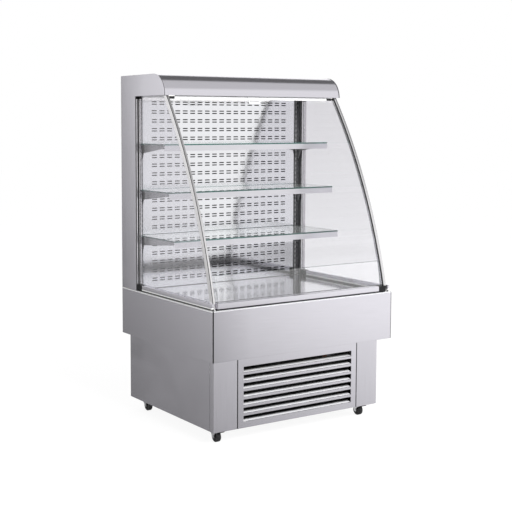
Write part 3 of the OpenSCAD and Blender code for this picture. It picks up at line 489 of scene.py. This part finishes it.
class CASE_OT_outer_panels(bpy.types.Operator):
    """Finish the brushed side panels, the tub shell, the back and the canopy"""
    bl_idname = "display_case.outer_panels"
    bl_label = "Outer panels"

    def execute(self, context):
        metal = values("case_metal")
        corner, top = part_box("tub_front_panel")[1].x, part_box("tub_front_panel")[1].z
        end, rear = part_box("canopy_cover")[1].x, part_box("side_panel_left")[1].y

        def top_edge_highlight(tree, place):
            """Painted highlight along the top edge of a sheet, where the sheet turns over in a round fold."""
            return span(tree, axes(tree, place)[2], top - 0.0050, top - 0.0042)

        def left_joint_and_painted_shade(tree, place):
            """A dark joint at the left corner, and painted shade on the sheet beside it, darker towards the
            corner.
            """
            across = axes(tree, place)[0]
            dull = span(tree, across, 0.01 - corner, 0.20 - corner, 0.83, 1.0)
            return times(tree, dull, span(tree, across, 0.0045 - corner, 0.0040 - corner, 1.0, 0.08))

        def end_seams(tree, place):
            """The joints of the canopy sheet with its two ends."""
            return span(tree, unsigned(tree, axes(tree, place)[0]), end - 0.0045, end - 0.0035)

        def painted_shade_towards_rear(tree, place):
            """Painted shade and highlight: the side panels get lighter towards the front and darker towards
            the rear.
            """
            return span(tree, axes(tree, place)[1], rear - 0.22, rear, 1.06, 0.81)

        # Painted highlights along the top edges of the tub's front and side sheets, and painted shade beside
        # the left corner
        paint(two_tone("Front sheet with painted highlight on its top edge", metal.outer, (0.52, 0.52, 0.54), top_edge_highlight,
                       (0.20, 0.5), (1.0, 0.0), shade_of=left_joint_and_painted_shade, lines=LINES_X), "tub_front_panel")
        paint(two_tone("Canopy steel with dark seams", metal.outer, (0.03, 0.03, 0.03), end_seams,
                       (0.18, 0.5), (1.0, 0.0)), "canopy_cover")
        paint(two_tone("Side sheets with painted highlight on their top edge", metal.outer, (0.85, 0.85, 0.86), top_edge_highlight,
                       (0.20, 0.5), (1.0, 0.0), lines=LINES_Y), "tub_side_panels")
        paint(brushed("Side panel steel", metal.outer, metal.roughness, LINES_Z, metal.grain, bump=0.006,
                      shade_of=painted_shade_towards_rear), "side_panel_left", "side_panel_right")
        paint(finish_of("galvanised"), "back_outer_sheet")
        soften(metal.edge, "tub_front_panel", "tub_side_panels", "side_panel_left", "side_panel_right")
        return {"FINISHED"}


class CASE_OT_base(bpy.types.Operator):
    """Finish the machine base: posts, side panels, louvred grille and pan"""
    bl_idname = "display_case.base"
    bl_label = "Machine base"

    def execute(self, context):
        metal = values("case_metal")
        low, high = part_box("front_grille")
        strip, edge, overhang = low.y + 0.0022, high.x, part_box("tub_side_panels")[0].z

        def blade(tree, place):
            """The blades behind the grille's front strips."""
            return span(tree, axes(tree, place)[1], strip, strip + 0.001)

        def depth_shade(tree, place):
            """Painted shade: blades get darker towards the machine room; the upright edges are dark joints.
            """
            where = axes(tree, place)
            joint = span(tree, unsigned(tree, where[0]), edge - 0.0032, edge - 0.0026, 1.0, 0.12)
            return times(tree, joint, span(tree, where[1], strip + 0.008, strip + 0.020, 1.0, 0.02))

        def painted_shadow_under_tub(tree, place):
            """Painted shade: soft shades towards the rear and the front, and a painted shadow line just below
            the overhanging tub.
            """
            where = axes(tree, place)
            band = times(tree, span(tree, where[2], overhang - 0.150, overhang - 0.085, smooth=True),
                         span(tree, where[2], overhang - 0.060, overhang - 0.010, 1.0, 0.55))
            rearward = times(tree, span(tree, where[1], 0.0, 0.34, 0.0, 0.16, smooth=True), band)
            sideways = span(tree, unsigned(tree, facing(tree)[0]), 0.4, 0.6)
            forward = times(tree, span(tree, where[1], 0.30, -0.34, 0.0, 0.09), sideways)
            line = span(tree, where[2], overhang - 0.0060, overhang - 0.0050, 1.0, 0.55)
            return times(tree, minus(tree, minus(tree, 1.0, rearward), forward), line)

        def pan_floor_painted_shade(tree, place):
            """The faces of the pan that look up, painted black as shade."""
            return span(tree, facing(tree)[2], 0.4, 0.6)

        paint(two_tone("Grille steel and satin blades", metal.outer, (0.72, 0.72, 0.74), blade, (0.20, 0.5),
                       (1.0, 0.0), shade_of=depth_shade), "front_grille")
        paint(brushed("Post steel below the tub", metal.outer, metal.roughness, LINES_Z, metal.grain,
                      shade_of=painted_shadow_under_tub), "base_posts")
        paint(brushed("Side steel below the tub", metal.outer, metal.roughness, LINES_Y, metal.grain,
                      shade_of=painted_shadow_under_tub), "base_side_panels")
        paint(finish_of("galvanised"), "rear_vent_panel")
        paint(two_tone("Pan with painted shade on its floor", metal.zinc, (0.01, 0.01, 0.01), pan_floor_painted_shade, (0.38, 0.6),
                       (1.0, 0.0)), "base_pan")
        soften(metal.edge, "base_posts", "base_side_panels")
        soften(0.0005, "front_grille")
        return {"FINISHED"}


class CASE_OT_casters(bpy.types.Operator):
    """Make the four wheels with tread and hub, and finish forks, plates and brake levers"""
    bl_idname = "display_case.casters"
    bl_label = "Casters"

    def execute(self, context):
        tread, axle = values("case_trim").tread, (1, 0, 0)
        rubber = moulded("Black wheel rubber", (0.012, 0.012, 0.013), 0.40, 600.0, 0.2, 0.10)
        nylon = moulded("Black nylon hub", (0.015, 0.015, 0.016), 0.22, 500.0, 0.08, 0.04)
        corners, levers = ("fl", "fr", "rl", "rr"), ("brake_lever_left", "brake_lever_right")
        plated = ["caster_plates"] + ["caster_fork_" + corner for corner in corners]
        paint(finish_of("zinc"), *plated)
        paint(finish_of("black"), *levers)
        soften(0.0006, *plated, *levers)
        for corner in corners:
            node, body = "caster_wheel_" + corner, "wheel_" + corner
            low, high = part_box(node)
            centre = (low + high) / 2
            radius, half = (high.z - low.z) / 2, (high.x - low.x) / 2
            rim, side = radius * 0.66, half - 0.0015
            ring = [(rim, -side + 0.001), (rim + 0.0008, -side), (radius - tread, -side)]
            ring += [(radius - tread * (1 - math.sin(t)), -side + tread * (1 - math.cos(t)))
                     for t in (0.4, 0.8, 1.2, 1.5708)]
            ring += [(r, -z) for r, z in reversed(ring)]
            add_piece("tyre_" + corner, *lathe(ring, centre, axle), rubber, body, "wheel_rubber", 40, (node,))
            # From the centre out: axle nut, its seat, a raised ring, the disc and the rim
            hub = [(0, 0), (0.0042, 0), (0.0048, 0.0006), (0.0048, 0.0022), (0.0060, 0.0026),
                   (0.0075, 0.0016), (0.0090, 0.0016), (0.0098, 0.0036), (rim - 0.003, 0.0042),
                   (rim - 0.0015, 0.0020), (rim + 0.0002, 0.0020)]
            hub = [(r, -half + inwards) for r, inwards in hub]
            hub += [(r, -z) for r, z in reversed(hub)]
            add_piece("hub_" + corner, *solid_lathe(hub, centre, axle, 48), nylon, body, "wheel_rubber", 35)
            painted.add(node)
        return {"FINISHED"}


class CASE_OT_tub(bpy.types.Operator):
    """Finish the rails round the tub, their end blocks and the raised return strip"""
    bl_idname = "display_case.tub"
    bl_label = "Tub and rails"

    def execute(self, context):
        metal = values("case_metal")
        foot, rail_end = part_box("deck_plates")[1].z + 0.004, -0.4690

        def painted_shade_rear_face(tree, place):
            """The side of the front rail that faces the deck, but not its left end, painted dark as shade."""
            return times(tree, span(tree, axes(tree, place)[0], rail_end, rail_end + 0.001),
                         span(tree, facing(tree)[1], 0.4, 0.6))

        def foot_line(tree, place):
            """A dark joint where a rail stands on the tub."""
            return span(tree, axes(tree, place)[2], foot + 0.0030, foot + 0.0040, 0.12, 1.0)

        def above_painted_highlight(tree, place):
            """All of a side rail but its lower edge, which carries a painted white highlight."""
            return span(tree, axes(tree, place)[2], foot + 0.0075, foot + 0.0085)

        paint(two_tone("Rail steel with painted shade on inner side", metal.outer, (0.02, 0.02, 0.02), painted_shade_rear_face,
                       (0.20, 0.5), (1.0, 0.0), shade_of=foot_line), "front_rail")
        paint(moulded("Dark return strip", (0.05, 0.05, 0.052), 0.45, 500.0, 0.1, 0.05, shine=0.2),
              "return_grille")
        paint(two_tone("Side rail steel with painted highlight on lower edge", (0.86, 0.86, 0.86), metal.outer, above_painted_highlight,
                       (0.5, 0.20), (0.0, 1.0), shade_of=foot_line), "side_rails")
        paint(brushed("Satin inner steel", metal.inner, 0.085, FINE_LINES_X, 0.02, 0.3, 0.01), "tub_liner")
        paint(finish_of("black"), "rail_end_caps")
        soften(0.0018, "front_rail")
        soften(0.0024, "side_rails")
        soften(0.0010, "rail_end_caps")
        return {"FINISHED"}


class CASE_OT_interior(bpy.types.Operator):
    """Finish the deck, the slotted rear wall and the shelf uprights"""
    bl_idname = "display_case.interior"
    bl_label = "Deck and rear wall"

    def execute(self, context):
        metal, trim = values("case_metal"), values("case_trim")
        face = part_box("shelf_uprights")[1].y - 0.0380
        slot_pitch, inner_edge = 0.024, 0.4555
        wall_foot, wall_strip, lowest_shelf = 0.6042, 0.4380, 0.785

        def wall_shade(tree, place):
            """Painted shade: a shadow line at the foot, a shaded strip beside the right upright, and darker
            below the lowest shelf.
            """
            where = axes(tree, place)
            lines = times(tree, span(tree, where[2], wall_foot, wall_foot + 0.0010, 0.35, 1.0),
                          span(tree, where[0], wall_strip, wall_strip + 0.0010, 1.0, 0.20))
            below = times(tree, span(tree, where[2], lowest_shelf - 0.015, lowest_shelf, 0.40, 0.0),
                          span(tree, where[0], -0.15, 0.40))
            return times(tree, lines, minus(tree, 1.0, below))

        def painted_highlights(tree, place):
            """Painted highlights: paler along the inner edge, between the slots, and towards the front of the
            side wall.
            """
            where = axes(tree, place)
            out = unsigned(tree, where[0])
            along = math_node(tree, "FRACT", math_node(tree, "DIVIDE", where[2], slot_pitch))
            edge = times(tree, span(tree, out, inner_edge, inner_edge + 0.0010, 1.0, 0.0),
                         span(tree, along, 0.48, 0.52, 1.0, 0.25))
            return larger(tree, edge, span(tree, where[1], face, face - 0.018))

        paint(brushed("Polished deck steel", metal.inner, metal.deck_roughness, FINE_LINES_X, 0.02, 0.3,
                      0.01), "deck_plates")
        paint(brushed("Rear wall steel", metal.inner, 0.085, FINE_LINES_X, 0.02, 0.3, 0.01, wall_shade),
              "inner_back_panel")
        paint(two_tone("Dark grey upright paint", trim.upright, (0.23, 0.23, 0.235), painted_highlights, (0.30, 0.30)),
              "shelf_uprights")
        return {"FINISHED"}


class CASE_OT_glazing(bpy.types.Operator):
    """Finish the front glass, the side glass and the posts that hold it"""
    bl_idname = "display_case.glazing"
    bl_label = "Glazing"

    def execute(self, context):
        glass = values("case_glass")
        pane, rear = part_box("front_glass")[1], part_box("glass_posts")[1].y
        # The circle of the posts' curved fronts in the side view, and the recess of the left channel
        arc_y, arc_z, arc_radius = 2.13497, 0.06764, 2.57765
        recess_in, recess_out, channel_out = 0.4742, 0.4942, 0.4984

        def on_post(tree, where):
            """One on the curved posts and zero on the channels behind them."""
            return span(tree, where[1], rear - 0.020, rear - 0.019, 1.0, 0.0)

        def depth_inside(tree, where):
            """How far behind the curved front a point lies."""
            reach_y, reach_z = minus(tree, where[1], arc_y), minus(tree, where[2], arc_z)
            squared = plus(tree, times(tree, reach_y, reach_y), times(tree, reach_z, reach_z))
            return minus(tree, arc_radius, math_node(tree, "SQRT", squared))

        def dark_bands_and_painted_shade(tree, place):
            """Darker front half of the posts' inner faces, a painted dark reflection along their outer
            corners, and painted shade in the left channel's recess and beside it.
            """
            turned, where = facing(tree), axes(tree, place)
            outward = times(tree, turned[0], math_node(tree, "SIGN", where[0]))
            inner = times(tree, span(tree, outward, -0.95, -0.85, 1.0, 0.0),
                          span(tree, depth_inside(tree, where), 0.013, 0.014, 1.0, 0.0))
            corner = times(tree, span(tree, outward, 0.30, 0.45), span(tree, outward, 0.90, 0.97, 1.0, 0.0))
            corner = times(tree, corner, span(tree, turned[1], -0.2, -0.3))
            post_bands = times(tree, larger(tree, inner, corner), on_post(tree, where))
            out = times(tree, where[0], -1.0)
            between = times(tree, span(tree, out, recess_in, recess_in + 0.0002),
                            span(tree, out, recess_out, recess_out + 0.0002, 1.0, 0.0))
            deep = times(tree, between, span(tree, where[1], rear - 0.0096, rear - 0.0094))
            beside = times(tree, span(tree, out, channel_out, channel_out + 0.0002),
                           span(tree, where[1], rear - 0.0104, rear - 0.0100))
            return larger(tree, larger(tree, post_bands, deep), beside)

        def height_shade(tree, place):
            """Painted shade: the posts' front faces get darker towards the canopy."""
            turned, where = facing(tree), axes(tree, place)
            front = times(tree, span(tree, turned[1], -0.7, -0.8), on_post(tree, where))
            return minus(tree, 1.0, times(tree, front, span(tree, where[2], 0.75, 1.45, 0.08, 0.50)))

        paint(clear_glass("Front glass", glass.front_haze, (0.96, 0.96, 0.965), (0.62, 0.67, 0.66), 1,
                          ior=1.28, rims=((2, pane.z), (0, pane.x))), "front_glass")
        # The side glass darkens towards the top as painted shade
        paint(clear_glass("Side glass", glass.side_haze, (0.905, 0.90, 0.93), glass.edge, 0,
                          (0.785, 0.775, 0.81)), "side_glass")
        paint(two_tone("Post steel with painted dark bands", (0.88, 0.87, 0.88), (0.07, 0.07, 0.072), dark_bands_and_painted_shade,
                       (0.18, 0.45), (1.0, 0.0), shade_of=height_shade), "glass_posts")
        soften(0.0010, "glass_posts")
        for node in ("front_glass", "side_glass"):
            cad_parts[node].visible_shadow = False
        return {"FINISHED"}


class CASE_OT_shelves(bpy.types.Operator):
    """Finish the glass shelves and brackets, and the ticket strips"""
    bl_idname = "display_case.shelves"
    bl_label = "Shelves"

    def execute(self, context):
        glass = values("case_glass")
        pane = clear_glass("Shelf glass", glass.shelf_haze, (0.95, 0.98, 0.97), glass.edge, 2)
        panes = ("shelf_glass_top", "shelf_glass_middle", "shelf_glass_bottom")
        paint(pane, *panes)
        for node in panes:
            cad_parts[node].visible_shadow = False
        paint(moulded("Grey bracket steel", (0.36, 0.36, 0.37), 0.28, 300.0, 0.06, 0.04, 1.0),
              "shelf_brackets")
        soften(0.0006, "shelf_brackets")
        paint(brushed("Satin strip aluminium", (0.76, 0.75, 0.79), 0.28, FINE_LINES_X, 0.03), "ticket_strips")
        return {"FINISHED"}


class CASE_OT_canopy(bpy.types.Operator):
    """Finish the canopy underside, the lamp and the air curtain outlet"""
    bl_idname = "display_case.canopy"
    bl_label = "Canopy, lamp and air outlet"

    def execute(self, context):
        material, tree, surface, place = blank_material("Lamp cover")
        grains = effect(tree, "Fine speckle", {"Place": place, "Scale": 40.0, "Strength": 0.05})
        glow = shaded(tree, (1.0, 0.98, 0.95, 1.0), grains.outputs["Shade"])
        set_inputs(tree, surface, {"Base Color": glow, "Roughness": 0.3, "Emission Color": glow,
                                   "Emission Strength": values("case_trim").lamp})
        paint(material, "led_light")
        paint(moulded("White enamel", (0.80, 0.80, 0.80), 0.35, 500.0, 0.03, 0.05), "canopy_ceiling")
        paint(finish_of("black"), "air_honeycomb")
        return {"FINISHED"}


class CASE_OT_night_blind(bpy.types.Operator):
    """Make the web of the night blind and finish its bar, handle, roller and brackets"""
    bl_idname = "display_case.night_blind"
    bl_label = "Night blind"

    def execute(self, context):
        trim = values("case_trim")
        low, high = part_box("blind_web")
        bar_end = 0.4338

        def end_block(tree, place):
            """The black blocks at both ends of the bar."""
            return span(tree, unsigned(tree, axes(tree, place)[0]), bar_end, bar_end + 0.0004)

        paint(two_tone("White bar with black ends", trim.white, trim.black, end_block, (0.30, 0.40)),
              "blind_bar")
        paint(moulded("White plastic", trim.white, 0.35, 700.0, 0.03, 0.04), "blind_handle")
        paint(moulded("Anodised roller", (0.75, 0.75, 0.76), 0.30, 400.0, 0.05, 0.04, 1.0), "blind_roller")
        paint(finish_of("black"), "blind_brackets")
        soften(0.0010, "blind_bar", "blind_handle")

        material, tree, surface, place = blank_material("Woven blind web")
        threads = effect(tree, "Woven threads", {"Place": place, "Pitch": 0.0012})
        shade = shaded(tree, rgba(trim.fabric), threads.outputs["Shade"])
        set_inputs(tree, surface, {"Base Color": shade, "Roughness": 0.75, "Sheen Weight": 0.1,
                                   "Normal": relief(tree, threads.outputs["Height"], 0.25, 0.0002)})
        columns, rows = 80, 8
        verts, faces = [], []
        for side in (0, 1):
            for j in range(rows + 1):
                for i in range(columns + 1):
                    x = low.x + (high.x - low.x) * i / columns
                    z = low.z + (high.z - low.z) * j / rows
                    verts.append((x, (low.y, high.y)[side], z))
        stride, layer = columns + 1, (columns + 1) * (rows + 1)
        for j in range(rows):
            for i in range(columns):
                a = j * stride + i
                faces.append((a, a + 1, a + 1 + stride, a + stride))
                faces.append((layer + a + stride, layer + a + 1 + stride, layer + a + 1, layer + a))
        rim = list(range(stride)) + [j * stride + columns for j in range(1, rows + 1)]
        rim += [rows * stride + i for i in range(columns - 1, -1, -1)]
        rim += [j * stride for j in range(rows - 1, 0, -1)]
        for k, a in enumerate(rim):
            b = rim[(k + 1) % len(rim)]
            faces.append((a, layer + a, layer + b, b))
        web = add_piece("night_blind_web", verts, faces, material, None, "blind_fabric", 40, ("blind_web",))
        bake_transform(web)
        painted.add("blind_web")
        return {"FINISHED"}


class CASE_OT_machinery(bpy.types.Operator):
    """Finish the compressor, condenser, evaporator, fans and pipes"""
    bl_idname = "display_case.machinery"
    bl_label = "Machinery"

    def execute(self, context):
        fins = brushed("Finned aluminium", (0.70, 0.71, 0.72), 0.35, (400, 30, 6), 0.10)
        copper = moulded("Dull copper tube", (0.30, 0.15, 0.10), 0.40, 300.0, 0.15, 0.05, 1.0)
        enamel = moulded("Black enamel", (0.02, 0.02, 0.022), 0.30, 500.0, 0.1, 0.08)
        paint(enamel, "compressor", "condenser_shroud", "condenser_coil")
        paint(fins, "evaporator_coil")
        paint(finish_of("black"), "condenser_fan_motor", "condenser_fan", "evaporator_fan_left",
              "evaporator_fan_right")
        paint(finish_of("galvanised"), "evaporator_fan_plate")
        paint(copper, "refrigerant_lines")
        return {"FINISHED"}


class CASE_OT_controls(bpy.types.Operator):
    """Finish the controller and the power switch, and add the panel screws"""
    bl_idname = "display_case.controls"
    bl_label = "Controls and screws"

    def execute(self, context):
        paint(finish_of("black"), "control_panel")
        paint(moulded("Glossy switch plastic", (0.03, 0.03, 0.032), 0.22, 900.0, 0.05, 0.03), "power_switch")
        radius = values("case_trim").screw
        head = [(0, 0.0016), (radius * 0.35, 0.0016), (radius * 0.4, 0.0010), (radius * 0.45, 0.0015),
                (radius * 0.8, 0.0011), (radius, 0.0004), (radius, 0), (0, 0)]
        vent_columns, vent_margin = (-0.44, -0.15, 0.15, 0.44), 0.012
        back_columns, back_margin, back_rows = (-0.485, 0.485), 0.03, 6
        low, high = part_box("rear_vent_panel")
        places = [(x, high.y, z) for x in vent_columns for z in (low.z + vent_margin, high.z - vent_margin)]
        low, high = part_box("back_outer_sheet")
        reach = high.z - low.z - 2 * back_margin
        places += [(x, high.y, low.z + back_margin + reach * k / (back_rows - 1))
                   for x in back_columns for k in range(back_rows)]
        parts = [solid_lathe(head, place, (0, 1, 0), 16) for place in places]
        add_piece("panel_screws", *joined(parts), finish_of("zinc"), "case", "fork_zinc", 35)
        return {"FINISHED"}


class CASE_OT_insulation(bpy.types.Operator):
    """Finish the foam of the tub and of the back"""
    bl_idname = "display_case.insulation"
    bl_label = "Insulation"

    def execute(self, context):
        low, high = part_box("tub_insulation")
        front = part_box("shelf_uprights")[1].y + 0.006
        foam = (0.62, 0.56, 0.40)

        def foam_edge_painted_shade(tree, place):
            """The outer few millimetres of the tub's foam, painted dark as the shade in the joints."""
            where = axes(tree, place)
            side = span(tree, unsigned(tree, where[0]), high.x - 0.006, high.x - 0.005)
            return larger(tree, side, span(tree, where[1], low.y + 0.006, low.y + 0.005))

        def behind_painted_shade(tree, place):
            """The foam behind its front, which is painted black as the shade seen through the rear wall's
            slots.
            """
            return span(tree, axes(tree, place)[1], front, front + 0.001)

        paint(two_tone("Foam with painted shade at its edge", foam, (0.02, 0.02, 0.02), foam_edge_painted_shade, (0.8, 0.8), scale=250.0),
              "tub_insulation")
        paint(two_tone("Foam with painted shade at its front", (0.012, 0.012, 0.013), foam, behind_painted_shade, (0.7, 0.8)),
              "back_insulation")
        return {"FINISHED"}


class CASE_OT_stage(bpy.types.Operator):
    """Set the floor, the seamless backdrop, the soft lights and the camera"""
    bl_idname = "display_case.stage"
    bl_label = "Studio"

    def execute(self, context):
        studio = values("case_studio")
        scene = context.scene
        scene.view_settings.view_transform = "Standard"
        scene.cycles.use_denoising = True
        self.make_floor(studio)
        self.make_surroundings(scene, studio)
        for name, place, aim, size, energy in (
                ("Overhead softbox", (0.3, -3.4, 2.9), (0, 0, 0.6), (2.6, 1.8), studio.overhead),
                ("Side softbox", (3.0, -2.6, 1.8), (0, 0, 0.8), (2.0, 2.0), studio.side)):
            lamp = bpy.data.lights.new(name, "AREA")
            lamp.shape, lamp.size, lamp.size_y, lamp.energy = "RECTANGLE", size[0], size[1], energy
            obj = bpy.data.objects.new(name, lamp)
            scene.collection.objects.link(obj)
            obj.location = place
            obj.rotation_euler = (Vector(aim) - Vector(place)).to_track_quat("-Z", "Y").to_euler()
            obj.visible_glossy = obj.visible_transmission = obj.visible_camera = False
        tilt_down, turn_right = 5.2144, 32.4389
        camera = bpy.data.cameras.new("Photograph")
        camera.sensor_width, camera.lens = 36.0, 74.2822
        camera.shift_x, camera.shift_y = 0.100609, -0.071654
        camera.clip_end = 60.0
        eye = bpy.data.objects.new("Photograph", camera)
        scene.collection.objects.link(eye)
        eye.location = (-2.8710464, -4.0686663, 1.3895739)
        eye.rotation_euler = (math.radians(90 - tilt_down), 0.0, math.radians(-turn_right))
        scene.camera = eye
        return {"FINISHED"}

    def make_floor(self, studio):
        """A round floor that looks nearly white to the camera and takes a faint shadow."""
        material, tree = bare_material("Studio floor")
        path = tree.nodes.new("ShaderNodeLightPath").outputs
        place = tree.nodes.new("ShaderNodeTexCoord").outputs["Object"]
        grains = effect(tree, "Fine speckle", {"Place": place, "Scale": 20.0, "Strength": 0.01})
        base = shaded(tree, rgba(studio.floor), grains.outputs["Shade"])
        faint = put(tree, "ShaderNodeBsdfDiffuse", {"Color": (0.16, 0.16, 0.16, 1.0)})
        glow = put(tree, "ShaderNodeEmission", {"Color": (1, 1, 1, 1), "Strength": 0.90})
        seen = put(tree, "ShaderNodeAddShader", {0: faint.outputs[0], 1: glow.outputs[0]})
        lit = put(tree, "ShaderNodeBsdfDiffuse", {"Color": base})
        camera_like = larger(tree, path["Is Camera Ray"], path["Is Transmission Ray"])
        both = put(tree, "ShaderNodeMixShader", {0: camera_like, 1: lit.outputs[0], 2: seen.outputs[0]})
        put(tree, "ShaderNodeOutputMaterial", {0: both.outputs[0]})
        mesh = bpy.data.meshes.new("studio_floor")
        verts, faces, rings, steps = [(0, 0, 0)], [], (1.0, 3.0, 9.0, 25.0), 48
        angles = [2 * math.pi * k / steps for k in range(steps)]
        for radius in rings:
            verts += [(radius * math.cos(a), radius * math.sin(a), 0) for a in angles]
        for k in range(steps):
            m = (k + 1) % steps
            faces.append((0, 1 + k, 1 + m))
            for r in range(len(rings) - 1):
                a, b = 1 + r * steps, 1 + (r + 1) * steps
                faces.append((a + k, b + k, b + m, a + m))
        mesh.from_pydata(verts, [], faces)
        mesh.materials.append(material)
        floor = bpy.data.objects.new("studio_floor", mesh)
        bpy.context.scene.collection.objects.link(floor)
        floor.visible_glossy = False

    def make_surroundings(self, scene, studio):
        """Even light for what is lit and seen, and broad bright and dull zones for what is mirrored."""
        world = bpy.data.worlds.new("Studio surroundings")
        scene.world = world
        world.use_nodes = True
        tree = world.node_tree
        tree.nodes.clear()
        generated = tree.nodes.new("ShaderNodeTexCoord").outputs["Generated"]
        way = axes(tree, generated)
        # Ahead of the case: dull below the horizon, and near it duller left and brighter right
        ahead = span(tree, way[2], -0.285, -0.15, 0.45, 1.0)
        near_horizon = span(tree, way[2], -0.075, -0.125, smooth=True)
        rightward = plus(tree, span(tree, way[0], 0.48, 0.60, -0.42, 0.28),
                         span(tree, way[0], 0.56, 0.67, 0.0, 0.15))
        ahead = times(tree, ahead, plus(tree, times(tree, rightward, near_horizon), 1.0))
        # Behind the case: brighter towards the horizon, and to the left a rise that ends at a limit
        behind = span(tree, way[2], -0.26, 0.05, 0.242, 0.645)
        beyond = minus(tree, times(tree, way[0], -1.0), span(tree, way[2], -0.16, 0.02, 0.505, 0.484))
        steep = times(tree, span(tree, beyond, -0.20, 0.20, -0.20, 0.20),
                      span(tree, way[2], -0.16, 0.02, 9.5, 13.5))
        rising = math_node(tree, "MINIMUM", math_node(tree, "EXPONENT", steep), 2.3)
        aside = span(tree, way[0], -0.32, -0.05)
        leftward = put(tree, "ShaderNodeMix", {0: aside, 2: rising, 3: 1.9}, data_type="FLOAT").outputs[0]
        behind = times(tree, behind, leftward)
        forward = span(tree, way[1], 0.3, -0.3, smooth=True)
        level = plus(tree, times(tree, behind, minus(tree, 1.0, forward)), times(tree, ahead, forward))
        # Overhead: dull towards the rear and brighter towards the front
        above = span(tree, way[1], 0.06, -0.02, 0.15, 0.68)
        lifted = span(tree, way[2], 0.50, 0.58, smooth=True)
        shown = plus(tree, times(tree, level, minus(tree, 1.0, lifted)), times(tree, above, lifted))
        # A small dull spot ahead of the case and to its left
        towards = put(tree, "ShaderNodeVectorMath", {0: generated, 1: (-0.58, -0.81, 0.0)},
                      operation="DOT_PRODUCT").outputs["Value"]
        shown = times(tree, shown, span(tree, towards, 0.94, 0.985, 1.0, 0.35, smooth=True))
        path = tree.nodes.new("ShaderNodeLightPath").outputs
        plain = plus(tree, times(tree, path["Is Diffuse Ray"], studio.fill),
                     times(tree, minus(tree, 1.0, path["Is Diffuse Ray"]), studio.backdrop))
        mirrored = times(tree, path["Is Glossy Ray"], minus(tree, 1.0, path["Is Transmission Ray"]))
        total = put(tree, "ShaderNodeMix", {0: mirrored, 2: plain, 3: shown}, data_type="FLOAT")
        sky = put(tree, "ShaderNodeBackground", {"Color": (1, 1, 1, 1), "Strength": total.outputs[0]})
        put(tree, "ShaderNodeOutputWorld", {0: sky.outputs[0]})


OPERATORS = (CASE_OT_outer_panels, CASE_OT_base, CASE_OT_casters, CASE_OT_tub, CASE_OT_interior,
             CASE_OT_glazing, CASE_OT_shelves, CASE_OT_canopy, CASE_OT_night_blind, CASE_OT_machinery,
             CASE_OT_controls, CASE_OT_insulation, CASE_OT_stage)


class CASE_PT_sidebar(bpy.types.Panel):
    """The pieces of the display case and their values"""
    bl_label = "Display case"
    bl_idname = "CASE_PT_sidebar"
    bl_space_type = "VIEW_3D"
    bl_region_type = "UI"
    bl_category = "Display case"

    def draw(self, context):
        for operator in OPERATORS:
            self.layout.operator(operator.bl_idname)
        for name, group in GROUPS.items():
            column = self.layout.column()
            for key in group.__annotations__:
                column.prop(getattr(context.scene, name), key)


def register():
    for group in GROUPS.values():
        bpy.utils.register_class(group)
    for name, group in GROUPS.items():
        setattr(bpy.types.Scene, name, PointerProperty(type=group))
    for operator in OPERATORS:
        bpy.utils.register_class(operator)
    bpy.utils.register_class(CASE_PT_sidebar)


def unregister():
    bpy.utils.unregister_class(CASE_PT_sidebar)
    for operator in reversed(OPERATORS):
        bpy.utils.unregister_class(operator)
    for name, group in GROUPS.items():
        delattr(bpy.types.Scene, name)
        bpy.utils.unregister_class(group)


def main():
    register()
    for operator in OPERATORS:
        group, name = operator.bl_idname.split(".")
        result = getattr(getattr(bpy.ops, group), name)()
        if result != {"FINISHED"}:
            raise RuntimeError("not finished: " + operator.bl_label)
    bare = sorted(set(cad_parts) - painted)
    if bare:
        raise RuntimeError("nodes without a finish: " + ", ".join(bare))


if __name__ == "__main__":
    main()
